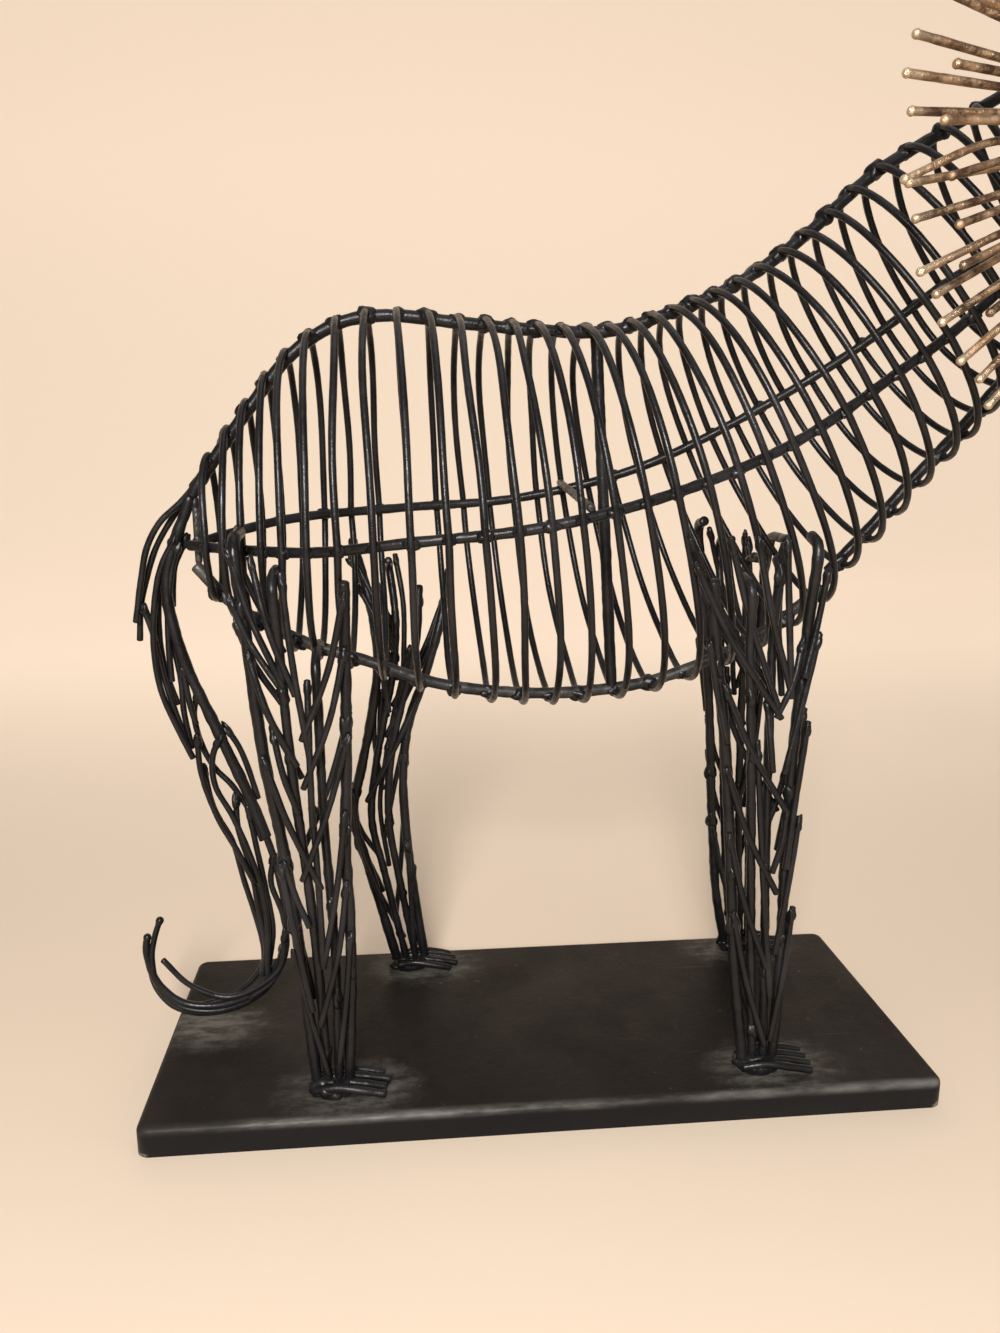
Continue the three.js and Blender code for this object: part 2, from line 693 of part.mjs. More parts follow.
function maneOutline(ring) {
  const half = halfSide(MANE_RADIUS);
  const rim = ring.radius + halfSide(RING_RADIUS);
  const shape = new THREE.Shape();
  for (let i = 0; i < ring.count; i += 1) {
    const angle = ((i + 0.5) * 2 * Math.PI) / ring.count;
    const reach = ring.reach * (1 + MANE_UNEVEN_SHARE * wobble(i));
    const corners = [[rim, -half], [reach, -half], [reach, half], [rim, half]];
    corners.forEach(([out, side], corner) => {
      const x = out * Math.cos(angle) - side * Math.sin(angle);
      const y = out * Math.sin(angle) + side * Math.cos(angle);
      if (i === 0 && corner === 0) shape.moveTo(x, y);
      else shape.lineTo(x, y);
    });
  }
  shape.closePath();
  const inside = ring.radius - halfSide(RING_RADIUS);
  const hole = new THREE.Path();
  hole.moveTo(inside, 0);
  for (let i = 1; i <= RING_SIDE_COUNT; i += 1) {
    const angle = (-i * 2 * Math.PI) / RING_SIDE_COUNT;
    hole.lineTo(inside * Math.cos(angle), inside * Math.sin(angle));
  }
  shape.holes.push(hole);
  return shape;
}

function addManeRing(name, ring) {
  const thickness = 2 * halfSide(MANE_RADIUS);
  const geometry = new THREE.ExtrudeGeometry(maneOutline(ring), { depth: thickness, bevelEnabled: false });
  const corners = geometry.attributes.position;
  const rim = ring.radius + halfSide(RING_RADIUS);
  for (let i = 0; i < corners.count; i += 1) {
    const out = Math.hypot(corners.getX(i), corners.getY(i));
    const lift = (ring.lift * Math.max(out - rim, 0)) / (ring.reach - rim);
    const forward = ring.forward + corners.getZ(i) - thickness / 2 + lift;
    const point = onHead(corners.getX(i), corners.getY(i), forward);
    corners.setXYZ(i, point.x, point.y, point.z);
  }
  addMesh(name, geometry, BRONZE);
}

const FACE_RING_RADIUS = HEAD_RADIUS * FACE_RADIUS_SHARE;

function addMane() {
  addManeRing("mane_rear", {
    radius: HEAD_RADIUS,
    forward: 0,
    count: MANE_OUTER_COUNT,
    reach: MANE_OUTER_REACH,
    lift: MANE_OUTER_LIFT,
  });
  addManeRing("mane_front", {
    radius: FACE_RING_RADIUS,
    forward: RING_STEP,
    count: MANE_INNER_COUNT,
    reach: MANE_INNER_REACH,
    lift: MANE_INNER_LIFT,
  });
}

// Face: a few plain wires from the front ring to a muzzle loop, as shares of the ring's radius and the depth
const MUZZLE = { centre: -0.32, halfWidth: 0.5, halfHeight: 0.38, depth: 0.9, corners: 8 };
const FACE_WIRES = {
  bridge: [[0.1, 0.98, 0], [0.16, 0.72, 0.45], [0.14, 0.3, 0.75], [0.12, 0.03, 0.92]],
  cheek: [[0.98, 0, 0], [0.86, -0.1, 0.5], [0.5, -0.32, 0.9]],
  jaw: [[0.6, -0.78, 0], [0.5, -0.78, 0.55], [0.3, -0.62, 0.9]],
  brow: [[0.75, 0.62, 0], [0.5, 0.42, 0.5], [0.15, 0.4, 0.68]],
  nostril: [[0.12, 0.03, 0.92], [0.22, -0.12, 0.95], [0, -0.2, 0.99]],
};
const LIP = [[0, -0.2, 0.99], [0, -0.4, 0.95], [0, -0.7, 0.9]];

function faceWire(points, side) {
  const seat = RING_STEP + halfSide(MANE_RADIUS) + FACE_RADIUS / 2 + 3 * WELD_GAP;
  const onFace = ([right, up, depth]) =>
    onHead(side * right * FACE_RING_RADIUS, up * FACE_RING_RADIUS, Math.max(seat, depth * FACE_DEPTH));
  return barGeometry(smooth(points.map(onFace)), FACE_RADIUS, WIRE_SIDE_COUNT, points.length - 1);
}

function addFace() {
  const muzzle = [];
  for (let i = 0; i < MUZZLE.corners; i += 1) {
    const angle = (i * 2 * Math.PI) / MUZZLE.corners;
    const right = MUZZLE.halfWidth * Math.cos(angle) * FACE_RING_RADIUS;
    const up = (MUZZLE.centre + MUZZLE.halfHeight * Math.sin(angle)) * FACE_RING_RADIUS;
    muzzle.push(onHead(right, up, MUZZLE.depth * FACE_DEPTH));
  }
  const pieces = [loopGeometry(muzzle, FACE_RADIUS), faceWire(LIP, 1)];
  for (const points of Object.values(FACE_WIRES)) {
    pieces.push(faceWire(points, 1), faceWire(points, -1));
  }
  addMesh("face_wires", fused(pieces), STEEL);
}

addPlinth();
addRods();
addPost();
addBrace();
addRumpPlate();
addRibs();
addLegs();
addTail();
addMane();
addFace();

// The origin is at plinth level under the middle of the whole work
const box = new THREE.Box3().setFromObject(lion);
const middle = box.getCenter(new THREE.Vector3());
lion.position.set(-middle.x, -middle.y, 0);

export default lion;
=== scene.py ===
import bisect
import math
import random

import bmesh
import bpy
import numpy as np
from mathutils import Matrix, Vector, noise


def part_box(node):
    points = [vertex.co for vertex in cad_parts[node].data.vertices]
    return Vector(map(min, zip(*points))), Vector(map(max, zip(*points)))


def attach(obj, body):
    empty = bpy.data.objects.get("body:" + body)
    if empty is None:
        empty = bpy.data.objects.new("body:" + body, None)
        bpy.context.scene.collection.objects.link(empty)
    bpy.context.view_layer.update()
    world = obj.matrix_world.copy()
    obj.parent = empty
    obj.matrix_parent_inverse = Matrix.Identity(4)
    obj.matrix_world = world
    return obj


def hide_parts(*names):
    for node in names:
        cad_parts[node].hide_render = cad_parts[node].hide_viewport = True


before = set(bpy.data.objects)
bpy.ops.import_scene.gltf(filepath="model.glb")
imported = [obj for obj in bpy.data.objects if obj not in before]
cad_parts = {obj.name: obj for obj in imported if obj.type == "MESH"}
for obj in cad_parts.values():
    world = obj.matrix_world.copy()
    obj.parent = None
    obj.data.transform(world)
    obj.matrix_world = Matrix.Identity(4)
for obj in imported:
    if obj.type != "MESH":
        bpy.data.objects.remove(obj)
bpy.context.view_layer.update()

MM = 0.001

# Sizes of the part, in millimetres
PLINTH_LENGTH = 400
PLINTH_WIDTH = 160
PLINTH_HEIGHT = 15
PLINTH_SHEET = 2
PLINTH_BEND = 3
STANCE_INSET = 20
BODY_HALF_WIDTH = 72
SPINE_RADIUS = 3.0
BELLY_RADIUS = 3.0
RAIL_RADIUS = 2.5
POST_RADIUS = 3.0
BRACE_RADIUS = 2.0
RIB_RADIUS = 1.75
LEG_ROD_RADIUS = 2.7
LEG_WIRE_RADIUS = 1.6
TOE_RADIUS = 2.0
TAIL_ROD_RADIUS = 2.9
TAIL_WIRE_RADIUS = 1.6
RING_RADIUS = 2.4
MANE_RADIUS = 1.75
FACE_RADIUS = 1.7
WEB_PLATE = 3
HEAD_RADIUS = 46
FACE_RADIUS_SHARE = 0.9
FACE_DEPTH = 56
FACE_TURN = math.radians(85)
MANE_OUTER_REACH = 168
MANE_INNER_REACH = 158
MANE_OUTER_COUNT = 72
MANE_INNER_COUNT = 48
MANE_OUTER_LIFT = 6
MANE_INNER_LIFT = 16
FOOT_LENGTH = 34
FOOT_WIDTH = 20
HEEL_HEIGHT = 9
TOE_COUNT = 4

# How far a weld sinks one wire into the next, and how far the ribs are let into the spine and the belly
WELD_SINK = 0.35
SPINE_SINK = 2.5

# Camera of the photograph: where it stood by the plinth's middle, in millimetres, and how it was turned
CAMERA_PLACE = Vector((-67.2, -505.9, 330.4))
CAMERA_YAW = -0.0947
CAMERA_PITCH = 0.2193
PHOTO_WIDTH = 1000
PHOTO_HEIGHT = 1333
PHOTO_FOCAL = 1001
SENSOR_WIDTH = 36

plinth_low, plinth_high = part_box("plinth")
ORIGIN = Vector(((plinth_low.x + plinth_high.x) / 2, (plinth_low.y + plinth_high.y) / 2, 0))


def scene_point(point):
    """A point measured in millimetres from under the plinth's middle, in the frame."""
    return ORIGIN + Vector(point) * MM


def at(x, y, z):
    """A point drawn as x, y and height above the plinth, in millimetres from under the plinth's middle."""
    return Vector((x, y, z + PLINTH_HEIGHT))


def camera_axes():
    """The camera's right, up and forward directions."""
    level = Vector((-math.sin(CAMERA_YAW), math.cos(CAMERA_YAW), 0))
    forward = level * math.cos(CAMERA_PITCH) - Vector((0, 0, math.sin(CAMERA_PITCH)))
    right = Vector((math.cos(CAMERA_YAW), math.sin(CAMERA_YAW), 0))
    return right, right.cross(forward), forward


def seen(pixel, y):
    """The point of the upright plane at y that a pixel of the photograph shows."""
    right, up, forward = camera_axes()
    across = pixel[0] - PHOTO_WIDTH / 2
    rise = PHOTO_HEIGHT / 2 - pixel[1]
    ray = forward * PHOTO_FOCAL + right * across + up * rise
    return CAMERA_PLACE + ray * ((y - CAMERA_PLACE.y) / ray.y)


# Turns by this angle never fall into step, so the wobble jumps about between -1 and 1 as i counts up
GOLDEN_ANGLE = math.pi * (3 - math.sqrt(5))


def wobble(i):
    return math.sin(i * GOLDEN_ANGLE)


def between(pairs, x):
    """A value that changes steadily between the listed (x, value) pairs."""
    return float(np.interp(x, [p[0] for p in pairs], [p[1] for p in pairs]))


class Curve:
    """A smooth curve through points: a centripetal Catmull-Rom spline, run along by its length."""

    SAMPLES = 40

    def __init__(self, points):
        knots = [Vector(p) for p in points]
        knots = [2 * knots[0] - knots[1], *knots, 2 * knots[-1] - knots[-2]]
        self.points = []
        for i in range(1, len(knots) - 2):
            self._add_stretch(knots[i - 1:i + 3])
        self.points.append(knots[-2].copy())
        self.runs = [0.0]
        for a, b in zip(self.points, self.points[1:]):
            self.runs.append(self.runs[-1] + (b - a).length)
        self.length = self.runs[-1]

    def _add_stretch(self, knots):
        a, b, c, d = knots
        step_0, step_1, step_2 = (max((q - p).length, 1e-4) ** 0.5 for p, q in zip(knots, knots[1:]))
        leave = ((b - a) / step_0 - (c - a) / (step_0 + step_1) + (c - b) / step_1) * step_1
        reach = ((c - b) / step_1 - (d - b) / (step_1 + step_2) + (d - c) / step_2) * step_1
        for i in range(self.SAMPLES):
            t = i / self.SAMPLES
            cubic = 2 * b - 2 * c + leave + reach
            square = -3 * b + 3 * c - 2 * leave - reach
            self.points.append(((cubic * t + square) * t + leave) * t + b)

    def at(self, share):
        run = min(max(share, 0.0), 1.0) * self.length
        i = min(bisect.bisect_right(self.runs, run), len(self.runs) - 1)
        a, b = self.points[i - 1], self.points[i]
        step = self.runs[i] - self.runs[i - 1]
        return a.lerp(b, (run - self.runs[i - 1]) / step)

    def along(self, share):
        step = 0.002
        return (self.at(min(share + step, 1)) - self.at(max(share - step, 0))).normalized()

    def path(self, spacing, start=0.0, end=1.0):
        count = max(2, round(self.length * (end - start) / spacing))
        return [self.at(start + (end - start) * i / count) for i in range(count + 1)]


def share_until(curve, before):
    """The share of a curve's length up to which a test holds."""
    low, high = 0.0, 1.0
    for _ in range(30):
        middle = (low + high) / 2
        if before(curve.at(middle)):
            low = middle
        else:
            high = middle
    return (low + high) / 2


def share_at_x(curve, x):
    return share_until(curve, lambda point: point.x < x)


# Head: right and up are as a viewer in front of the face sees them
HEAD_CENTRE = at(302, -60, 453)
FACE_FORWARD = Vector((math.cos(FACE_TURN), -math.sin(FACE_TURN), 0))
FACE_RIGHT = Vector((math.sin(FACE_TURN), math.cos(FACE_TURN), 0))


def on_head(right, up, forward):
    return HEAD_CENTRE + FACE_RIGHT * right + FACE_FORWARD * forward + Vector((0, 0, up))


def onto_ring(degrees, radius):
    """Where a rod ends on the back of the mane's rear ring, at an angle round it."""
    angle = math.radians(degrees)
    back = MANE_RADIUS + radius - WELD_SINK
    return on_head(HEAD_RADIUS * math.cos(angle), HEAD_RADIUS * math.sin(angle), -back)


# Long rods of the body
spine = Curve([
    at(-170, 0, 291), at(-156, 0, 311), at(-141, 0, 331), at(-119, 0, 357), at(-97, 0, 371),
    at(-75, 0, 375), at(-38, 0, 372), at(0, 0, 369), at(34, 0, 369), at(68, 0, 379),
    at(98, 0, 392), at(130, 0, 414), at(163, 0, 443), at(199, 0, 464), at(228, -1, 481),
    at(256, -12, 491), at(280, -33, 497), onto_ring(90, SPINE_RADIUS),
])
belly = Curve([
    at(-170, 0, 256), at(-152, 0, 236), at(-121, 0, 218), at(-89, 0, 207), at(-52, 0, 194),
    at(-10, 0, 188), at(27, 0, 188), at(62, 0, 193), at(98, 0, 206), at(124, 0, 220), at(151, 0, 241),
])
throat = Curve([
    at(154, 0, 250), at(173, 0, 270), at(198, 0, 299), at(219, 0, 322), at(238, -1, 345),
    at(258, -10, 370), at(280, -33, 394), onto_ring(-90, BELLY_RADIUS),
])
near_rail = Curve([
    at(-171, -6, 267), at(-145, -29, 267), at(-106, -55, 268), at(-66, -68, 273), at(-5, -72, 280),
    at(53, -66, 294), at(111, -54, 316), at(164, -44, 349), at(188, -39, 365), at(212, -37, 386),
    at(236, -42, 414), onto_ring(200, RAIL_RADIUS),
])
far_rail = Curve([
    at(-171, 6, 267), at(-128, 42, 276), at(-69, 67, 280), at(-1, 72, 285), at(66, 63, 302),
    at(130, 51, 334), at(177, 41, 364), at(224, 32, 400), at(262, 21, 424), at(305, -8, 442),
    onto_ring(0, RAIL_RADIUS),
])

# Ribs: their lean against x, forward at the foot, and how far each is from the one before, against its number
RIB_LEAN = [(-110, 0), (-60, 3), (0, 7.5), (35, 15), (87, 30), (125, 37), (200, 38)]
RIB_STEPS = [(2, 16.2), (6, 14.7), (9, 14.8), (14, 11.8), (20, 10.7), (25, 14), (29, 17)]
FIRST_RIB_X = -161
LAST_LEANING_RIB_X = 178.6
LEANING_RIB_COUNT = 30
NECK_RIB_COUNT = 6
BARE_NECK_COUNT = 2


def lean_below(top):
    return math.radians(between(RIB_LEAN, top.x))


def share_at_plane(curve, top, lean):
    """Where a curve passes the leaning plane that goes down from a point of the spine."""
    return share_until(curve, lambda point: point.x - top.x < math.tan(lean) * (top.z - point.z))


def leaning_rib(share):
    """A rib that hangs from a share of the spine, as shares of the four rods that it rounds."""
    top = spine.at(share)
    lean = lean_below(top)
    belly_end = belly.at(1)
    past_belly = top.x + math.tan(lean) * (top.z - belly_end.z) > belly_end.x
    lower = throat if past_belly else belly
    return {
        "top": share,
        "near": share_at_plane(near_rail, top, lean),
        "far": share_at_plane(far_rail, top, lean),
        "bottom": share_at_plane(lower, top, lean),
        "lower": lower,
    }


def all_ribs():
    runs = [0.0]
    for i in range(1, LEANING_RIB_COUNT):
        runs.append(runs[-1] + between(RIB_STEPS, i))
    first = share_at_x(spine, FIRST_RIB_X)
    stretch = share_at_x(spine, LAST_LEANING_RIB_X) - first
    ribs = [leaning_rib(first + stretch * run / runs[-1]) for run in runs]
    last = ribs[-1]
    for i in range(1, NECK_RIB_COUNT + 1):
        step = i / (NECK_RIB_COUNT + BARE_NECK_COUNT)
        onward = {k: last[k] + (1 - last[k]) * step for k in ("top", "near", "far", "bottom")}
        ribs.append({**onward, "lower": throat})
    return ribs


def rib_arms(rib):
    """The middle of a rib and the arms from it to the wire where that rounds each rod."""
    near = near_rail.at(rib["near"])
    far = far_rail.at(rib["far"])
    centre = (near + far) / 2

    def arm_to(curve, share, radius, sink):
        arm = curve.at(share) - centre
        slant = abs(curve.along(share).dot(arm.normalized()))
        clear = (radius + RIB_RADIUS) / math.sqrt(1 - slant * slant) - sink
        return arm.normalized() * (arm.length + clear)

    return centre, [
        arm_to(spine, rib["top"], SPINE_RADIUS, SPINE_SINK),
        arm_to(near_rail, rib["near"], RAIL_RADIUS, WELD_SINK),
        arm_to(rib["lower"], rib["bottom"], BELLY_RADIUS, SPINE_SINK),
        arm_to(far_rail, rib["far"], RAIL_RADIUS, WELD_SINK),
    ]


def cage_half_width(x, z, side):
    """How far the cage of ribs stands out from the middle plane at a place beside it."""
    share = share_until(spine, lambda top: top.x + math.tan(lean_below(top)) * (top.z - z) < x)
    centre, (top, near, bottom, far) = rib_arms(leaning_rib(share))
    rise = (z - centre.z) / (top.z if z > centre.z else bottom.z)
    if rise >= 1:
        return 0.0
    reach = abs(centre.y + (near.y if side < 0 else far.y))
    return reach * math.sqrt(1 - rise * rise) + RIB_RADIUS


def unit_ball():
    """The points and faces of a ball of radius 1."""
    made = bmesh.new()
    bmesh.ops.create_icosphere(made, subdivisions=3, radius=1)
    points = np.array([v.co[:] for v in made.verts])
    faces = [[v.index for v in f.verts] for f in made.faces]
    made.free()
    return points, faces


BALL_POINTS, BALL_FACES = unit_ball()


def turned_frames(path, closed):
    """The points of a path as an array, with a side and an up direction carried along it without twist."""
    points = np.array([p[:] for p in path])
    if closed:
        tangents = np.roll(points, -1, 0) - np.roll(points, 1, 0)
    else:
        tangents = np.gradient(points, axis=0)
    tangents /= np.linalg.norm(tangents, axis=1)[:, None]
    first = np.cross(tangents[0], (0, 0, 1))
    if np.linalg.norm(first) < 0.1:
        first = np.cross(tangents[0], (0, 1, 0))
    sides = [first / np.linalg.norm(first)]
    for tangent in tangents[1:]:
        side = sides[-1] - tangent * np.dot(sides[-1], tangent)
        sides.append(side / np.linalg.norm(side))
    sides = np.array(sides)
    ups = np.cross(tangents, sides)
    if closed:
        last = sides[-1] - tangents[0] * np.dot(sides[-1], tangents[0])
        twist = math.atan2(np.dot(last, ups[0]), np.dot(last, sides[0]))
        turns = -twist * np.arange(len(path)) / len(path)
        cosines, sines = np.cos(turns)[:, None], np.sin(turns)[:, None]
        sides, ups = sides * cosines + ups * sines, ups * cosines - sides * sines
    return points, sides, ups


class Piece:
    """One named piece of wirework, gathered wire by wire in millimetres."""

    # Rings that round off a cut end, as distance past it and radius, both in radii of the wire
    CUT_END = [(0.12, 0.93), (0.3, 0.6)]
    TIP_ANGLES = [math.radians(degrees) for degrees in (-30, -5, 20, 45, 65, 82)]

    def __init__(self):
        self.points = []
        self.faces = []
        self.count = 0

    def add(self, points, faces):
        self.points.append(points)
        self.faces.extend([[i + self.count for i in face] for face in faces])
        self.count += len(points)

    def wire(self, path, radius, sides=10, closed=False, seed=0, rough=0.035, tip=None):
        """A round wire along a path, a little uneven. Its far end is cut, or melted to a round tip."""
        shift = Vector((seed, 0, 0))
        radii = [radius * (1 + rough * noise.noise(p * 0.22 + shift)) for p in path]
        if not closed:
            path, radii = self._with_ends(path, radii, tip)
        points, side, up = turned_frames(path, closed)
        angles = np.arange(sides) * 2 * math.pi / sides
        ring = side[:, None] * np.cos(angles)[None, :, None] + up[:, None] * np.sin(angles)[None, :, None]
        made = points[:, None] + ring * np.array(radii)[:, None, None]
        count = len(path)
        faces = []
        for i in range(count if closed else count - 1):
            j = (i + 1) % count
            for k in range(sides):
                n = (k + 1) % sides
                faces.append([i * sides + k, i * sides + n, j * sides + n, j * sides + k])
        if not closed:
            faces.append(list(range(sides))[::-1])
            faces.append([(count - 1) * sides + k for k in range(sides)])
        self.add(made.reshape(-1, 3), faces)

    def _with_ends(self, path, radii, tip):
        start = (path[0] - path[1]).normalized()
        end = (path[-1] - path[-2]).normalized()
        head = [(path[0] + start * radii[0] * out, radii[0] * share) for out, share in reversed(self.CUT_END)]
        body = list(zip(path, radii))
        if tip:
            body = [(p, r) for p, r in body if (path[-1] - p).length > 2 * tip]
            centre = path[-1] - end * tip
            tail = [(centre + end * tip * math.sin(a), tip * math.cos(a)) for a in self.TIP_ANGLES]
        else:
            tail = [(path[-1] + end * radii[-1] * out, radii[-1] * share) for out, share in self.CUT_END]
        rings = head + body + tail
        return [p for p, _ in rings], [r for _, r in rings]

    def weld(self, centre, along, length, radius, seed, lump=0.2):
        """A lump of weld, longer one way than the others."""
        along = Vector(along).normalized()
        side = along.orthogonal().normalized()
        up = along.cross(side)
        shift = Vector((seed * 3.7, seed * 1.3, 0))
        swell = np.array([1 + lump * 2 * noise.noise(Vector(p) * 1.3 + shift) for p in BALL_POINTS])
        shaped = BALL_POINTS * swell[:, None]
        basis = np.array([along * length, side * radius, up * radius])
        self.add(shaped @ basis + np.array(centre[:]), BALL_FACES)

    def finish(self, name, slot, *nodes):
        """Makes the piece's object, in the frame, in place of its CAD nodes."""
        mesh = bpy.data.meshes.new(name)
        points = np.concatenate(self.points) * MM + np.array(ORIGIN[:])
        mesh.from_pydata(points.tolist(), [], self.faces)
        mesh.polygons.foreach_set("use_smooth", [True] * len(mesh.polygons))
        mesh.materials.append(MATERIALS[slot])
        made = bpy.data.objects.new(name, mesh)
        bpy.context.scene.collection.objects.link(made)
        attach(made, "root")
        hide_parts(*nodes)
        return made


class Shader:
    """One material's nodes, added by short calls. It is looked up by the place on the object, in metres."""

    def __init__(self, name):
        self.material = bpy.data.materials.new(name)
        self.material.use_nodes = True
        self.tree = self.material.node_tree
        self.tree.nodes.clear()
        self.surface = self.tree.nodes.new("ShaderNodeBsdfPrincipled")
        output = self.tree.nodes.new("ShaderNodeOutputMaterial")
        self.feed(output.inputs[0], self.surface.outputs[0])
        self.place = self.tree.nodes.new("ShaderNodeTexCoord").outputs["Object"]

    def feed(self, target, source):
        if isinstance(source, bpy.types.NodeSocket):
            self.tree.links.new(source, target)
        elif isinstance(source, tuple) and len(source) == 3 and len(target.default_value) == 4:
            target.default_value = (*source, 1)
        else:
            target.default_value = source

    def noise(self, scale, detail=4, roughness=0.6, stretch=(1, 1, 1)):
        mapping = self.tree.nodes.new("ShaderNodeMapping")
        mapping.inputs["Scale"].default_value = stretch
        self.feed(mapping.inputs["Vector"], self.place)
        node = self.tree.nodes.new("ShaderNodeTexNoise")
        node.inputs["Scale"].default_value = scale
        node.inputs["Detail"].default_value = detail
        node.inputs["Roughness"].default_value = roughness
        self.feed(node.inputs["Vector"], mapping.outputs[0])
        return node.outputs["Fac"]

    def ramp(self, value, low, high, to_low=0.0, to_high=1.0):
        """A smooth step of a value, from to_low at low to to_high at high."""
        node = self.tree.nodes.new("ShaderNodeMapRange")
        node.interpolation_type = "SMOOTHSTEP"
        for i, source in enumerate((value, low, high, to_low, to_high)):
            self.feed(node.inputs[i], source)
        return node.outputs[0]

    def math(self, operation, a, b=0.0):
        node = self.tree.nodes.new("ShaderNodeMath")
        node.operation = operation
        self.feed(node.inputs[0], a)
        self.feed(node.inputs[1], b)
        return node.outputs[0]

    def distance(self, point, stretch=(1, 1, 1)):
        """The distance in metres from a point of the frame, each axis weighted."""
        value = self.place
        for operation, amount in (("SUBTRACT", tuple(point)), ("MULTIPLY", stretch)):
            node = self.tree.nodes.new("ShaderNodeVectorMath")
            node.operation = operation
            node.inputs[1].default_value = amount
            self.feed(node.inputs[0], value)
            value = node.outputs[0]
        length = self.tree.nodes.new("ShaderNodeVectorMath")
        length.operation = "LENGTH"
        self.feed(length.inputs[0], value)
        return length.outputs["Value"]

    def axis(self, letter):
        node = self.tree.nodes.new("ShaderNodeSeparateXYZ")
        self.feed(node.inputs[0], self.place)
        return node.outputs[letter]

    def mix(self, share, a, b):
        node = self.tree.nodes.new("ShaderNodeMix")
        node.data_type = "RGBA"
        self.feed(node.inputs[0], share)
        self.feed(node.inputs[6], a)
        self.feed(node.inputs[7], b)
        return node.outputs[2]

    def bump(self, height, depth, strength):
        node = self.tree.nodes.new("ShaderNodeBump")
        node.inputs["Strength"].default_value = strength
        node.inputs["Distance"].default_value = depth
        self.feed(node.inputs["Height"], height)
        self.feed(self.surface.inputs["Normal"], node.outputs[0])

    def set(self, name, source):
        self.feed(self.surface.inputs[name], source)


def dark_steel():
    """Satin charcoal paint over rough wire, a little greyer and dusty in patches."""
    made = Shader("dark_steel")
    patches = made.ramp(made.noise(28, 5), 0.42, 0.7)
    base = made.mix(patches, (0.0066, 0.0062, 0.0066), (0.0155, 0.015, 0.0165))
    dust = made.ramp(made.noise(110, 6, 0.75), 0.6, 0.8, 0.0, 0.45)
    made.set("Base Color", made.mix(dust, base, (0.05, 0.0475, 0.0455)))
    made.set("Metallic", 0.15)
    made.set("Specular IOR Level", 0.28)
    made.set("Roughness", made.ramp(made.noise(150, 4), 0.3, 0.75, 0.26, 0.46))
    grain = made.math("MULTIPLY", made.noise(620, 3), 0.35)
    made.bump(made.math("ADD", grain, made.noise(170, 3)), 0.0006, 0.5)
    return made.material


def bare_steel():
    """Dull bare steel, browned and rough from the weld."""
    made = Shader("bare_steel")
    patches = made.ramp(made.noise(55, 5), 0.42, 0.62)
    base = made.mix(patches, (0.016, 0.0157, 0.016), (0.062, 0.058, 0.054))
    made.set("Base Color", base)
    made.set("Metallic", 0.4)
    made.set("Roughness", made.ramp(made.noise(130, 4), 0.3, 0.75, 0.36, 0.6))
    made.bump(made.noise(240, 4), 0.0007, 0.6)
    return made.material


def mane_bronze():
    """Bronze rods, browned by patina and bright at their tips."""
    made = Shader("mane_bronze")
    out = made.distance(scene_point(HEAD_CENTRE))
    tips = made.ramp(out, 0.153, 0.171, 0.0, 0.7)
    patina = made.ramp(made.noise(75, 7, 0.75), 0.4, 0.6)
    metal = made.mix(made.ramp(made.noise(120, 3), 0.3, 0.7), (0.31, 0.185, 0.1), (0.56, 0.39, 0.245))
    browned = made.mix(patina, metal, (0.085, 0.046, 0.028))
    made.set("Base Color", made.mix(tips, browned, (0.84, 0.66, 0.46)))
    made.set("Metallic", 0.8)
    made.set("Roughness", made.ramp(made.noise(170, 4), 0.3, 0.75, 0.24, 0.46))
    made.bump(made.noise(300, 6, 0.7), 0.001, 0.85)
    return made.material


# Colours of the plinth's sides, darker and cooler as painted shade, of its scratches, of its front edge, worn
# and painted with a highlight, and of its chipped corners
PAINTED_SHADE_SIDE_COLOUR = (0.0065, 0.0069, 0.0085)
SCRATCH_COLOUR = (0.085, 0.076, 0.068)
WORN_AND_HIGHLIGHT_COLOUR = (0.17, 0.16, 0.15)
CHIP_COLOUR = (0.2, 0.175, 0.15)

# Weld residue and dust on the plinth's top, round the feet and under the tail
DUST_COLOUR = (0.13, 0.12, 0.105)
DUST_RADIUS = 0.025
DUST_PLACES = [(-101, -57), (-62, 62), (118, -58), (139, 66), (-182, 5)]


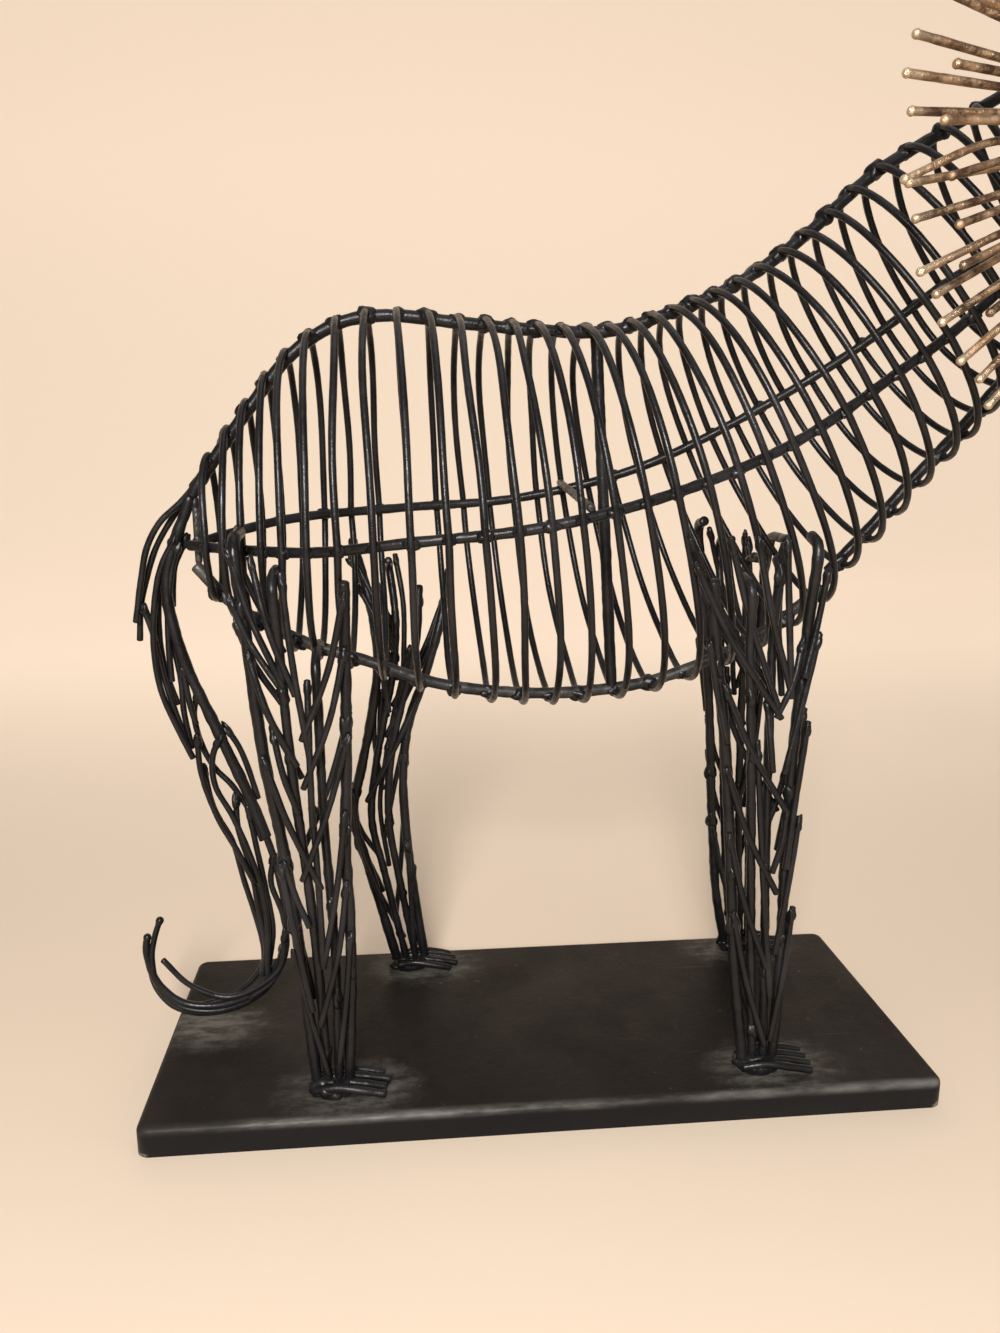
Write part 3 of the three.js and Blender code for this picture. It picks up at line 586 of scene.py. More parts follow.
def plinth_paint():
    """Black-brown paint on sheet steel: clouded, scratched, dusty round the feet, worn and lit by a painted
    highlight along its front top edge, with painted shade on its sides.
    """
    made = Shader("plinth_paint")
    clouds = made.ramp(made.noise(9, 6, 0.65), 0.35, 0.7)
    base = made.mix(clouds, (0.0068, 0.0056, 0.0051), (0.0148, 0.0124, 0.0114))
    streaks = made.ramp(made.noise(55, 7, 0.75, (0.3, 3.0, 1)), 0.62, 0.74, 0.0, 0.4)
    base = made.mix(streaks, base, SCRATCH_COLOUR)
    top = made.ramp(made.axis("Z"), 0.0142, 0.0148)
    spots = made.ramp(made.noise(240, 4, 0.6), 0.7, 0.76, 0.0, 0.6)
    base = made.mix(made.math("MULTIPLY", spots, top), base, DUST_COLOUR)
    smears = made.ramp(made.noise(90, 7, 0.75, (0.6, 1.8, 1)), 0.36, 0.64, 0.12, 0.95)
    smears = made.math("MULTIPLY", top, smears)
    for x, y in DUST_PLACES:
        spread = made.distance(scene_point((x, y, PLINTH_HEIGHT)), (0.68, 1, 1))
        uneven = made.math("ADD", spread, made.math("MULTIPLY", made.noise(130, 6, 0.75), 0.022))
        patch = made.ramp(uneven, DUST_RADIUS * 0.7, DUST_RADIUS * 1.6, 1.0, 0.0)
        base = made.mix(made.math("MULTIPLY", patch, smears), base, DUST_COLOUR)
    # Painted shade: the plinth's sides below its top are made darker and cooler than the top.
    side = made.ramp(made.axis("Z"), 0.0115, 0.0135, 0.75, 0.0)
    base = made.mix(side, base, PAINTED_SHADE_SIDE_COLOUR)
    # Along the front top edge, real worn paint and a painted highlight together make a lighter, broken line.
    edge = made.ramp(made.axis("Y"), plinth_low.y + 0.0008, plinth_low.y + 0.0055, 1.0, 0.0)
    high = made.ramp(made.axis("Z"), 0.0105, 0.0145)
    wear_and_highlight_breakup = made.ramp(made.noise(35, 6, 0.7, (0.25, 1, 1)), 0.38, 0.62, 0.1, 0.75)
    wear_and_highlight = made.math("MULTIPLY", made.math("MULTIPLY", edge, high), wear_and_highlight_breakup)
    base = made.mix(wear_and_highlight, base, WORN_AND_HIGHLIGHT_COLOUR)
    for x in (-PLINTH_LENGTH / 2, PLINTH_LENGTH / 2):
        spread = made.distance(scene_point((x, -PLINTH_WIDTH / 2, 1)), (0.5, 1, 1))
        uneven = made.math("ADD", spread, made.math("MULTIPLY", made.noise(500, 3), 0.006))
        chip = made.ramp(uneven, 0.0042, 0.0064, 1.0, 0.0)
        base = made.mix(chip, base, CHIP_COLOUR)
    made.set("Base Color", base)
    made.set("Metallic", 0.1)
    made.set("Specular IOR Level", 0.13)
    made.set("Roughness", made.ramp(made.noise(22, 6, 0.7), 0.3, 0.75, 0.38, 0.58))
    made.bump(made.noise(350, 4), 0.0004, 0.4)
    return made.material


# Backdrop: its colour, and how brightly its far part glows
BACKDROP_COLOUR = (0.7, 0.575, 0.455)
BACKDROP_GLOW = 0.82


def backdrop():
    """Plain pale paper that gives off light further back, so that it stays as pale there as by the work."""
    made = Shader("backdrop")
    made.set("Base Color", BACKDROP_COLOUR)
    made.set("Roughness", 0.8)
    made.set("Emission Color", BACKDROP_COLOUR)
    made.set("Emission Strength", made.ramp(made.axis("Y"), -0.1, 1.2, 0.0, BACKDROP_GLOW))
    return made.material


MATERIALS = {
    "dark_steel": dark_steel(),
    "bare_steel": bare_steel(),
    "mane_bronze": mane_bronze(),
    "plinth_paint": plinth_paint(),
}


# Plinth: a folded tray, lofted through rings that follow its rounded rectangle
CORNER_STEPS = 6


def plinth_ring(inset, z):
    """One ring round the plinth, set in from its outline."""
    radius = max(2 * PLINTH_BEND - inset, 0.4)
    x = PLINTH_LENGTH / 2 - inset - radius
    y = PLINTH_WIDTH / 2 - inset - radius
    points = []
    for turn, (side_x, side_y) in enumerate([(1, -1), (1, 1), (-1, 1), (-1, -1)]):
        for i in range(CORNER_STEPS + 1):
            angle = math.pi / 2 * (turn - 1 + i / CORNER_STEPS)
            points.append((side_x * x + radius * math.cos(angle), side_y * y + radius * math.sin(angle), z))
    return points


def add_plinth():
    levels = [(PLINTH_SHEET, PLINTH_HEIGHT - PLINTH_SHEET), (PLINTH_SHEET, 0), (0.3, 0), (0, 0.3)]
    for i in range(CORNER_STEPS + 1):
        angle = math.pi / 2 * i / CORNER_STEPS
        inset = PLINTH_BEND * (1 - math.cos(angle))
        levels.append((inset, PLINTH_HEIGHT - PLINTH_BEND + PLINTH_BEND * math.sin(angle)))
    rings = [plinth_ring(inset, z) for inset, z in levels]
    count = len(rings[0])
    faces = []
    for i in range(len(rings) - 1):
        for k in range(count):
            n = (k + 1) % count
            faces.append([i * count + k, i * count + n, (i + 1) * count + n, (i + 1) * count + k])
    faces.append([(len(rings) - 1) * count + k for k in range(count)])
    faces.append(list(range(count))[::-1])
    piece = Piece()
    piece.add(np.array([p for ring in rings for p in ring], float), faces)
    made = piece.finish("plinth_tray", "plinth_paint", "plinth")
    for face in made.data.polygons:
        face.use_smooth = abs(face.normal.z) < 0.999


# Long rods, post, brace and rump plate. The steps set points along a long rod, a bent one and a wire.
ROD_STEP = 2.0
BENT_ROD_STEP = 2.5
SHORT_WIRE_STEP = 3
POST_TOP_X = 28
POST_FOOT_X = 40
BRACE_NEAR_X = 14
BRACE_FAR_X = 22
WEB_BEAD_COUNT = 9


def add_rod(name, node, curve, radius, slot, seed):
    piece = Piece()
    piece.wire(curve.path(ROD_STEP), radius, sides=14, seed=seed, rough=0.1)
    piece.finish(name, slot, node)


def add_rods():
    add_rod("spine", "spine_rod", spine, SPINE_RADIUS, "dark_steel", 1)
    add_rod("belly", "belly_rod", belly, BELLY_RADIUS, "bare_steel", 2)
    add_rod("throat", "throat_rod", throat, BELLY_RADIUS, "dark_steel", 3)
    add_rod("near_rail", "side_rail_near", near_rail, RAIL_RADIUS, "dark_steel", 4)
    add_rod("far_rail", "side_rail_far", far_rail, RAIL_RADIUS, "dark_steel", 5)
    post = Curve([spine.at(share_at_x(spine, POST_TOP_X)), belly.at(share_at_x(belly, POST_FOOT_X))])
    add_rod("post", "centre_post", post, POST_RADIUS, "dark_steel", 6)
    rest = Vector((0, 0, RAIL_RADIUS + BRACE_RADIUS - WELD_SINK))
    near = near_rail.at(share_at_x(near_rail, BRACE_NEAR_X)) + rest
    far = far_rail.at(share_at_x(far_rail, BRACE_FAR_X)) + rest
    add_rod("brace", "cross_brace", Curve([far, near]), BRACE_RADIUS, "bare_steel", 7)


def add_rump_plate():
    """The narrow web plate that closes the rump, with a rough bead up each face."""
    low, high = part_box("rump_plate")
    low = (low - ORIGIN) / MM
    high = (high - ORIGIN) / MM
    middle = (low + high) / 2
    piece = Piece()
    length = (high.z - low.z) / WEB_BEAD_COUNT
    for i in range(WEB_BEAD_COUNT):
        z = low.z + (high.z - low.z) * (i + 0.5) / WEB_BEAD_COUNT
        spot = Vector((middle.x, middle.y, z))
        piece.weld(spot, (0.1 * wobble(i), 0, 1), length, WEB_PLATE * 0.58, i, 0.12)
    points = []
    for z in (low.z, high.z):
        points += [(low.x, low.y, z), (high.x, low.y, z), (high.x, high.y, z), (low.x, high.y, z)]
    faces = [[3, 2, 1, 0], [4, 5, 6, 7], [0, 1, 5, 4], [1, 2, 6, 5], [2, 3, 7, 6], [3, 0, 4, 7]]
    piece.add(np.array(points), faces)
    piece.finish("rump_web", "bare_steel", "rump_plate")


# Ribs: how finely they are drawn and how far their wires sway
RIB_STEPS_A_QUARTER = 30
RIB_SWAY = 2.6


def rib_path(rib, number):
    centre, arms = rib_arms(rib)
    path = []
    for quarter in range(4):
        a, b = arms[quarter], arms[(quarter + 1) % 4]
        for i in range(RIB_STEPS_A_QUARTER):
            share = i / RIB_STEPS_A_QUARTER
            angle = share * math.pi / 2
            point = centre + a * math.cos(angle) + b * math.sin(angle)
            where = point * 0.011 + Vector((number * 5.1, 0, 0))
            free = math.sin(share * math.pi)
            point.x += RIB_SWAY * free * noise.noise(where)
            point.y += RIB_SWAY / 2 * free * noise.noise(where + Vector((9, 9, 9)))
            path.append(point)
    return path


def add_ribs():
    for number, rib in enumerate(all_ribs(), start=1):
        piece = Piece()
        path = rib_path(rib, number)
        piece.wire(path, RIB_RADIUS, closed=True, seed=number, rough=0.06)
        rods = [
            (spine, rib["top"], SPINE_RADIUS + 0.9, 0.25),
            (near_rail, rib["near"], RAIL_RADIUS + 0.3, 0.5),
            (rib["lower"], rib["bottom"], BELLY_RADIUS + 0.8, 0.4),
            (far_rail, rib["far"], RAIL_RADIUS + 0.3, 0.5),
        ]
        for corner, (curve, share, size, up_the_rib) in enumerate(rods):
            seed = number * 4 + corner
            size += 0.3 * wobble(seed)
            middle = curve.at(share).lerp(path[corner * RIB_STEPS_A_QUARTER], up_the_rib)
            piece.weld(middle, curve.along(share), size * 1.35, size, seed)
        piece.finish(f"rib_wire_{number:02d}", "dark_steel", f"rib_{number:02d}")


# Legs: the rearmost and the foremost rod of each, from its top down, as x and height above the plinth
LEGS = {
    "leg_hind_near": {
        "side": -1,
        "stand": 0.95,
        "tops": (0, 0.04, 0.17, 0),
        "rear": [(-142, 272), (-138, 222), (-134, 176), (-127, 129), (-122, 80), (-116, 5)],
        "front": [(-94, 256), (-95, 225), (-96, 176), (-98, 128), (-97, 81), (-100, 5)],
    },
    "leg_hind_far": {
        "side": 1,
        "stand": 1.03,
        "tops": (0, 0.03, 0.06, 0.01),
        "rear": [(-96, 258), (-84, 206), (-91, 146), (-101, 103), (-95, 75), (-77, 5)],
        "front": [(-41, 246), (-53, 195), (-66, 160), (-71, 122), (-69, 80), (-60, 5)],
    },
    "leg_fore_near": {
        "side": -1,
        "stand": 0.97,
        "tops": (0.1, 0.1, 0.06, 0.01),
        "rear": [(66, 282), (75, 233), (83, 180), (89, 120), (94, 60), (101, 5)],
        "front": [(122, 272), (121, 235), (118, 180), (117, 120), (118, 60), (117, 5)],
    },
    "leg_fore_far": {
        "side": 1,
        "stand": 1.1,
        "tops": (0, 0.03, 0.06, 0.01),
        "rear": [(104, 268), (110, 202), (115, 154), (118, 106), (125, 34), (131, 5)],
        "front": [(145, 262), (143, 200), (142, 154), (143, 105), (146, 33), (147, 5)],
    },
}
HIP_SHARE = 0.833
EASE = 10
LEG_BEND_COUNT = 8
LEG_DEPTH = 6

# A leg's rods: how far across it, out of it at the top in leg depths, and how thick against the usual rod
LEG_RODS = [(0, 0, 1.05), (0.34, 1, 0.85), (0.68, -1, 0.85), (1, 0, 1)]

# Lumps of weld on each rod, and every how many wires one has a fellow
ROD_LUMP_COUNT = 3
FELLOW_STEP = 3

# A toe's points: how far along it, how far out to its side and how many wire radii up
TOE_SHAPE = [(-0.35, 0.75, 0.9), (0.1, 0.95, 1.9), (0.55, 1.1, 1.2), (1, 1.1, 0)]
HEEL_LUMP_COUNT = 7
HEEL_LUMP_LENGTH = 6.5
HEEL_LUMP_RADIUS = 4.4

# A rod's top that stands further than this from the ribs bends in to them and a little up
BENT_TOP_GAP = 4
BENT_TOP_RISE = 4

# Wires laid along and across the legs like fur: from where to where, as shares across the leg and down it
HIND_WIRES = [
    (-0.05, 0.01, 0.35, 0.22), (0.15, 0.01, 0.47, 0.23), (0.42, 0.02, 0.58, 0.34), (-0.1, 0.09, 0.3, 0.22),
    (1, 0.02, 0.5, 0.31), (1, 0.12, 0.47, 0.4), (0, 0.18, 0.42, 0.36), (0, 0.36, 0.57, 0.59),
    (0.17, 0.31, 0.36, 0.45), (1.03, 0.28, 0.27, 0.58), (0.55, 0.43, 0.47, 0.75), (1, 0.43, 0.49, 0.74),
    (-0.08, 0.56, 0.15, 0.84), (-0.1, 0.73, 0.4, 0.97), (1, 0.57, 0.3, 0.87), (1, 0.68, 0.72, 0.95),
    (0, 0.56, 0.28, 0.67), (0.6, 0.2, 0.54, 0.47),
]
FORE_WIRES = [
    (-0.18, 0.07, 0.73, 0.32), (0.17, 0.02, 0.68, 0.3), (0.42, 0.01, 0.83, 0.27), (0.69, 0.01, 0.84, 0.28),
    (1.1, 0.05, 0.97, 0.24), (1.1, 0.16, 0.82, 0.42), (1.12, 0.32, 0.93, 0.6), (1.15, 0.5, 0.78, 0.77),
    (1.15, 0.68, 0.75, 0.95), (0.03, 0.28, 0.89, 0.49), (-0.03, 0.43, 0.78, 0.65), (-0.04, 0.55, 0.61, 0.8),
    (-0.02, 0.7, 0.6, 0.96), (0.44, 0.37, 0.7, 0.86), (0.57, 0.3, 0.64, 0.42), (0.94, 0.49, 0.69, 0.61),
    (-0.1, 0.21, -0.02, 0.38), (0.93, 0.18, 0.67, 0.32),
]


def eased_max(a, b):
    """Rather more than the larger of two distances, so that a rod bends round the cage without a kink."""
    return (a ** EASE + b ** EASE) ** (1 / EASE)


class Leg:
    """One leg: where its rods run and where its wires can lie on them."""

    def __init__(self, name, facts, seed):
        self.side = facts["side"]
        self.stand = facts["stand"]
        self.tops = facts["tops"]
        self.rear = Curve([at(x, 0, z) for x, z in facts["rear"]])
        self.front = Curve([at(x, 0, z) for x, z in facts["front"]])
        self.wire_places = HIND_WIRES if "hind" in name else FORE_WIRES
        self.seed = seed

    def stand_at(self, down):
        hip = BODY_HALF_WIDTH * HIP_SHARE
        foot = PLINTH_WIDTH / 2 - STANCE_INSET
        return self.stand * (hip + (foot - hip) * down)

    def point(self, across, down, out):
        """A place on the leg: how far across it from the rear rod, how far down it and how far out of it."""
        point = self.rear.at(down).lerp(self.front.at(down), across)
        cage = cage_half_width(point.x, point.z, self.side)
        beside = cage + LEG_ROD_RADIUS - WELD_SINK if cage > 0 else 0
        point.y = self.side * eased_max(self.stand_at(down) + out, beside + max(out, 0))
        return point

    def add_rods(self, piece):
        for number, ((across, out, stout), start) in enumerate(zip(LEG_RODS, self.tops)):
            radius = LEG_ROD_RADIUS * stout
            points = []
            for i in range(LEG_BEND_COUNT + 1):
                run = i / LEG_BEND_COUNT
                down = start + (1 - start) * run
                points.append(self.point(across, down, out * LEG_DEPTH * (1 - run)))
            top = points[0]
            cage = cage_half_width(top.x, top.z, self.side)
            if cage > 0 and abs(top.y) - cage > BENT_TOP_GAP:
                points.insert(0, Vector((top.x, self.side * cage, top.z + BENT_TOP_RISE)))
            rod = Curve(points)
            piece.wire(rod.path(BENT_ROD_STEP), radius, sides=12, seed=self.seed + number, rough=0.16)
            for i in range(ROD_LUMP_COUNT):
                share = (i + 0.5 + 0.4 * wobble(i + number)) / ROD_LUMP_COUNT
                size = radius + 0.1 + 0.3 * abs(wobble(i * 3 + number))
                where = rod.at(share) + Vector((0, self.side * 0.6, 0))
                piece.weld(where, rod.along(share), size * 2.2, size, self.seed * 31 + number * 9 + i, 0.25)

    def add_wires(self, piece):
        """Each wire leaves along its rod, bends over the leg and ends off it. Some have a fellow inside."""
        chance = random.Random(self.seed)
        for number, (from_across, from_down, to_across, to_down) in enumerate(self.wire_places):
            for face in (1, -1) if number % FELLOW_STEP == 0 else (1,):
                shift = 0 if face * self.side < 0 else chance.uniform(-0.07, 0.07)
                middle_down = (from_down + to_down) / 2
                middle_across = from_across + 0.33 * (to_across - from_across)
                lift = LEG_ROD_RADIUS + LEG_WIRE_RADIUS - WELD_SINK
                over = LEG_DEPTH * (1 - middle_down) if 0.1 < middle_across < 0.9 else 0
                wire = Curve([
                    self.point(from_across, max(from_down + shift, 0), face * lift * 0.8),
                    self.point(middle_across, middle_down + shift, face * (lift + over * 0.6)),
                    self.point(to_across, min(to_down + shift, 0.98), face * (lift + 2.2)),
                ])
                seed = self.seed * 57 + number * 2 + face
                piece.wire(wire.path(SHORT_WIRE_STEP), LEG_WIRE_RADIUS, sides=8, seed=seed, rough=0.1)
                size = LEG_WIRE_RADIUS + 0.3
                start = 0.06
                piece.weld(wire.at(start), wire.along(start), size * 2.6, size, seed, 0.25)

    def add_foot(self, piece):
        rear, front = self.rear.at(1), self.front.at(1)
        middle = (rear + front) / 2
        middle.y = self.side * self.stand_at(1)
        width = abs(front.x - rear.x) / 2 + 2 * LEG_ROD_RADIUS
        for i in range(HEEL_LUMP_COUNT):
            angle = i * 2 * math.pi / HEEL_LUMP_COUNT
            spot = Vector((
                middle.x + width * 0.45 * math.cos(angle),
                middle.y + FOOT_WIDTH * 0.25 * math.sin(angle),
                PLINTH_HEIGHT + HEEL_HEIGHT * (0.28 + 0.1 * wobble(i)),
            ))
            lean = (1, 0, 0.1 * wobble(i))
            piece.weld(spot, lean, HEEL_LUMP_LENGTH, HEEL_LUMP_RADIUS, self.seed * 11 + i, 0.22)
        for i in range(TOE_COUNT):
            spread = i / (TOE_COUNT - 1) - 0.5
            reach = FOOT_LENGTH * (0.8 - 0.3 * spread * spread) + 1.2 * wobble(i + self.seed)
            toe = Curve([
                Vector((
                    middle.x + reach * run,
                    middle.y + spread * (FOOT_WIDTH - 2 * TOE_RADIUS) * broad,
                    PLINTH_HEIGHT + TOE_RADIUS * (1 + rise),
                ))
                for run, broad, rise in TOE_SHAPE
            ])
            piece.wire(toe.path(1.5), TOE_RADIUS, seed=i, rough=0.12)


def add_legs():
    for seed, (name, facts) in enumerate(LEGS.items(), start=1):
        leg = Leg(name, facts, seed)
        piece = Piece()
        leg.add_rods(piece)
        leg.add_wires(piece)
        leg.add_foot(piece)
        piece.finish(name + "_wirework", "dark_steel", name)


# Tail: one bent rod, which thins out in the hook, and wires laid along it through pixels of the photograph
TAIL_DEPTH = 3
TAIL_THICK_END = 0.5
TAIL_THIN_START = 0.46
TAIL_THIN_RADIUS = 2.0
TAIL_TIP = 2.2
TAIL_WIRE_PIXELS = {
    "outermost": [(199, 480), (182, 501), (160, 522), (147, 547), (141, 580), (136, 622)],
    "outer": [(206, 478), (186, 499), (168, 525), (155, 550), (147, 577), (141, 605), (140, 640)],
    "long_bow": [(176, 535), (160, 570), (154, 610), (154, 650), (161, 690), (176, 725), (193, 758)],
    "inner_bow": [(180, 535), (166, 560), (159, 600), (160, 640), (166, 672), (178, 704)],
    "straight": [(178, 545), (172, 570), (168, 610), (169, 650), (172, 681)],
    "front_stub": [(186, 540), (175, 565), (173, 590), (173, 606)],
    "slanted": [(143, 606), (153, 634), (166, 684), (188, 746)],
    "mid_left": [(172, 640), (181, 680), (184, 712), (192, 748)],
    "mid_short": [(183, 670), (189, 700), (196, 724)],
    "mid_cross": [(199, 690), (194, 712), (202, 745), (215, 768), (232, 785), (250, 812), (262, 840)],
    "low_outer": [(197, 735), (201, 772), (218, 818), (238, 852), (255, 884)],
    "low_sweep": [(203, 765), (214, 808), (233, 842), (244, 880), (257, 920), (264, 950), (263, 975)],
    "loop": [(222, 735), (213, 755), (215, 785), (232, 815), (248, 850), (262, 890), (268, 935), (268, 975)],
    "front_bow": [(226, 728), (238, 745), (247, 765), (258, 798)],
    "low_inner": [(236, 795), (238, 828), (250, 865), (258, 905), (266, 950), (262, 975)],
    "low_front": [(248, 808), (256, 845), (266, 890), (273, 930), (268, 970)],
    "knot": [(274, 855), (271, 882), (283, 915), (286, 950), (273, 980), (250, 998)],
    "free_sweep": [(256, 890), (266, 925), (266, 955), (252, 980), (225, 998), (195, 1006)],
    "free_curl": [(285, 930), (281, 965), (262, 984), (228, 997), (190, 985), (163, 960)],
    "bottom": [(283, 945), (272, 982), (240, 1006), (200, 1013), (172, 1005), (155, 985), (149, 962)],
}
TAIL_HOOK_PIXELS = [
    (278, 960), (260, 993), (220, 1010), (182, 1007), (160, 990), (152, 960), (155, 936), (161, 917),
]


def add_tail():
    root = spine.at(0) - spine.along(0) * (TAIL_ROD_RADIUS / 2)
    main = Curve([
        root, at(-185, 1, 250), at(-181, 1, 215), at(-164, 2, 168), at(-148, 2, 126),
        at(-138, 2, 90), at(-136, 3, 54), at(-146, 3, 27), at(-171, 4, 14), at(-193, 4, 16),
        at(-206, 4, 29), at(-210.5, 4, 48), at(-209, 4, 58),
    ])
    piece = Piece()
    thick = main.path(BENT_ROD_STEP, 0, TAIL_THICK_END)
    thin = main.path(BENT_ROD_STEP, TAIL_THIN_START, 1)
    piece.wire(thick, TAIL_ROD_RADIUS, sides=12, seed=3, rough=0.16)
    piece.wire(thin, TAIL_THIN_RADIUS, sides=12, seed=4, rough=0.1, tip=TAIL_TIP)
    hook = Curve([seen(pixel, TAIL_DEPTH + 1) for pixel in TAIL_HOOK_PIXELS])
    piece.wire(hook.path(BENT_ROD_STEP), TAIL_WIRE_RADIUS, seed=5, rough=0.1, tip=TAIL_TIP)
    for number, pixels in enumerate(TAIL_WIRE_PIXELS.values()):
        depth = TAIL_DEPTH + 2.5 * (1 if number % 2 else -1) + 1.5 * wobble(number)
        wire = Curve([seen(pixel, depth) for pixel in pixels])
        piece.wire(wire.path(SHORT_WIRE_STEP), TAIL_WIRE_RADIUS, sides=8, seed=number, rough=0.1)
        start = 0.03
        piece.weld(wire.at(start), wire.along(start), 4.5, TAIL_WIRE_RADIUS + 0.5, number * 3, 0.25)
    piece.finish("tail_wirework", "dark_steel", "tail")


# Mane: the rods that are bent, by number, and by how many degrees their last third turns
BENT_OUTER_RODS = {37: 24, 56: 12, 14: -15}
BENT_INNER_RODS = {25: 10, 32: -12}
ROD_TIP = 2.05
MANE_UNEVEN_SHARE = 0.012


def ring_path(radius, forward, count=72):
    angles = [i * 2 * math.pi / count for i in range(count)]
    return [on_head(radius * math.cos(a), radius * math.sin(a), forward) for a in angles]


def add_mane_ring(name, node, radius, forward, count, reach, lift, bends, seed):
    chance = random.Random(seed)
    piece = Piece()
    piece.wire(ring_path(radius, forward), RING_RADIUS, sides=12, closed=True, seed=seed, rough=0.1)
    for i in range(count):
        angle = (i + 0.5) * 2 * math.pi / count + math.radians(chance.uniform(-0.9, 0.9))
        length = reach * (1 + MANE_UNEVEN_SHARE * wobble(i))
        bow = math.radians(chance.uniform(-0.8, 0.8))
        bend = math.radians(bends.get(i, 0))
        points = []
        for share in (0, 0.3, 0.6, 0.7, 1):
            out = radius - 1 + (length - radius) * share
            turned = angle + bow * share + bend * max(share - 0.65, 0) * 0.5
            points.append(on_head(out * math.cos(turned), out * math.sin(turned), forward + lift * share))
        rod = Curve(points)
        piece.wire(rod.path(4), MANE_RADIUS, seed=i, rough=0.12, tip=ROD_TIP)
        piece.weld(points[0], rod.along(0), 3.6, 2.9, seed * 100 + i, 0.22)
    piece.finish(name, "mane_bronze", node)


def add_mane():
    add_mane_ring("mane_outer_rods", "mane_rear", HEAD_RADIUS, 0, MANE_OUTER_COUNT, MANE_OUTER_REACH,
                  MANE_OUTER_LIFT, BENT_OUTER_RODS, 11)
    add_mane_ring("mane_inner_rods", "mane_front", HEAD_RADIUS * FACE_RADIUS_SHARE, 2 * MANE_RADIUS,
                  MANE_INNER_COUNT, MANE_INNER_REACH, MANE_INNER_LIFT, BENT_INNER_RODS, 12)


# Face: a few plain wires, as shares of the front ring's radius and of the face's depth
FACE_WIRES = {
    "bridge": [(0.1, 0.98, 0), (0.16, 0.72, 0.45), (0.14, 0.3, 0.75), (0.12, 0.03, 0.92)],
    "cheek": [(0.98, 0, 0), (0.86, -0.1, 0.5), (0.5, -0.32, 0.9)],
    "jaw": [(0.6, -0.78, 0), (0.5, -0.78, 0.55), (0.3, -0.62, 0.9)],
    "brow": [(0.75, 0.62, 0), (0.5, 0.42, 0.5), (0.15, 0.4, 0.68)],
    "nostril": [(0.12, 0.03, 0.92), (0.22, -0.12, 0.95), (0, -0.2, 0.99)],
}
LIP = [(0, -0.2, 0.99), (0, -0.4, 0.95), (0, -0.7, 0.9)]
FACE_SEAT = 6
MUZZLE_CENTRE = -0.32
MUZZLE_HALF_WIDTH = 0.5
MUZZLE_HALF_HEIGHT = 0.38
MUZZLE_DEPTH = 0.9
MUZZLE_STEPS = 48


def add_face():
    radius = HEAD_RADIUS * FACE_RADIUS_SHARE
    piece = Piece()

    def add_wire(points, side, seed):
        placed = []
        for right, up, deep in points:
            placed.append(on_head(side * right * radius, up * radius, max(FACE_SEAT, deep * FACE_DEPTH)))
        wire = Curve(placed)
        piece.wire(wire.path(2), FACE_RADIUS, seed=seed, rough=0.08)
        piece.weld(placed[0], wire.along(0), 2.4, 1.8, seed)
        piece.weld(placed[-1], wire.along(1), 2.1, 1.8, seed + 40, 0.05)

    for number, points in enumerate(FACE_WIRES.values()):
        add_wire(points, 1, number)
        add_wire(points, -1, number + 10)
    add_wire(LIP, 1, 30)
    muzzle = []
    for i in range(MUZZLE_STEPS):
        angle = i * 2 * math.pi / MUZZLE_STEPS
        right = MUZZLE_HALF_WIDTH * math.cos(angle) * radius
        up = (MUZZLE_CENTRE + MUZZLE_HALF_HEIGHT * math.sin(angle)) * radius
        muzzle.append(on_head(right, up, MUZZLE_DEPTH * FACE_DEPTH))
    piece.wire(muzzle, FACE_RADIUS, closed=True, seed=5)
    piece.finish("face_wirework", "dark_steel", "face_wires")


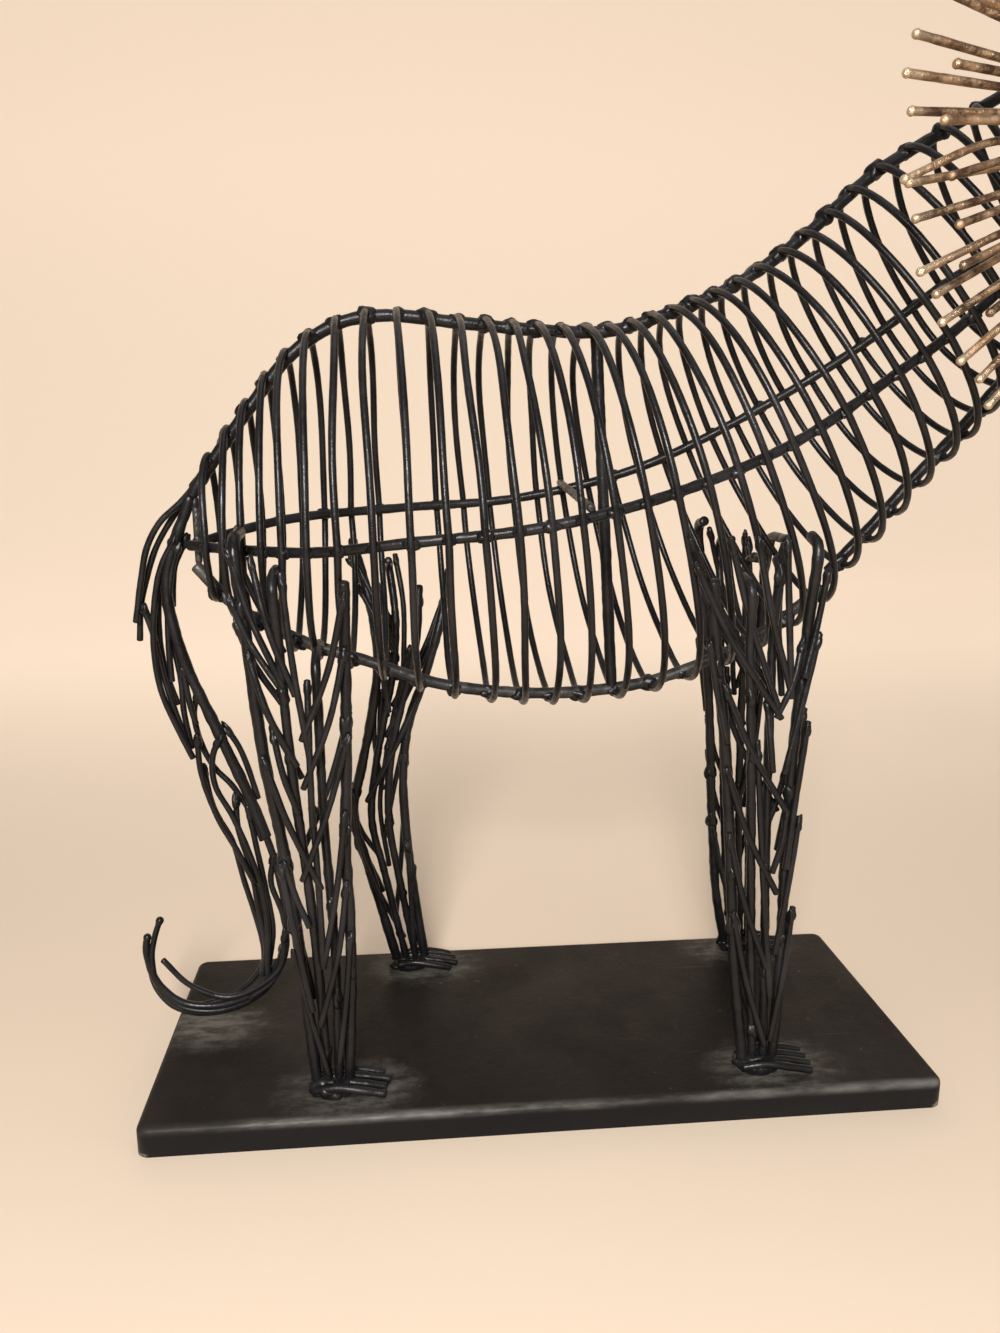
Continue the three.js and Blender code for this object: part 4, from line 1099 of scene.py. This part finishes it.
def add_floor():
    """A pale floor that bends up into a wall well behind the work, in metres."""
    half_width, front, back, bend, top = 5.0, -4.0, 3.0, 1.2, 4.0
    profile = [(front, 0.0)]
    for degrees in range(0, 91, 6):
        angle = math.radians(degrees)
        profile.append((back - bend + bend * math.sin(angle), bend - bend * math.cos(angle)))
    profile.append((back, top))
    points = [(x, y, z) for y, z in profile for x in (-half_width, half_width)]
    faces = [[2 * i, 2 * i + 1, 2 * i + 3, 2 * i + 2] for i in range(len(profile) - 1)]
    mesh = bpy.data.meshes.new("floor")
    mesh.from_pydata(points, [], faces)
    mesh.polygons.foreach_set("use_smooth", [True] * len(mesh.polygons))
    mesh.materials.append(backdrop())
    floor = bpy.data.objects.new("floor", mesh)
    bpy.context.scene.collection.objects.link(floor)


def add_area_light(name, place, size, watts, colour):
    """A square light that faces the middle of the work."""
    data = bpy.data.lights.new(name, "AREA")
    data.size = size
    data.energy = watts
    data.color = colour
    light = bpy.data.objects.new(name, data)
    light.location = place
    light.rotation_euler = (Vector((0, 0, 0.3)) - Vector(place)).to_track_quat("-Z", "Y").to_euler()
    bpy.context.scene.collection.objects.link(light)


def add_lights():
    add_area_light("key", (-0.36, -1.1, 0.75), 0.3, 26, (1, 0.97, 0.93))
    add_area_light("fill", (1.1, -0.9, 0.7), 1.0, 2.5, (1, 0.98, 0.95))
    add_area_light("top", (0, 0.1, 1.7), 1.2, 4, (1, 0.98, 0.96))
    world = bpy.data.worlds.new("studio")
    bpy.context.scene.world = world
    world.use_nodes = True
    world.node_tree.nodes["Background"].inputs[0].default_value = (1, 0.97, 0.93, 1)
    world.node_tree.nodes["Background"].inputs[1].default_value = 0.18


def add_camera():
    """The camera of the photograph, worked out from the plinth's corners."""
    data = bpy.data.cameras.new("camera")
    data.sensor_fit = "HORIZONTAL"
    data.sensor_width = SENSOR_WIDTH
    data.lens = SENSOR_WIDTH * PHOTO_FOCAL / PHOTO_WIDTH
    camera = bpy.data.objects.new("camera", data)
    right, up, forward = camera_axes()
    turn = Matrix((right, up, -forward)).transposed()
    camera.matrix_world = Matrix.Translation(scene_point(CAMERA_PLACE)) @ turn.to_4x4()
    bpy.context.scene.collection.objects.link(camera)
    bpy.context.scene.camera = camera


add_camera()
add_floor()
add_lights()
add_plinth()
add_rods()
add_rump_plate()
add_ribs()
add_legs()
add_tail()
add_mane()
add_face()

bpy.context.scene.view_settings.view_transform = "Standard"
bpy.context.view_layer.update()
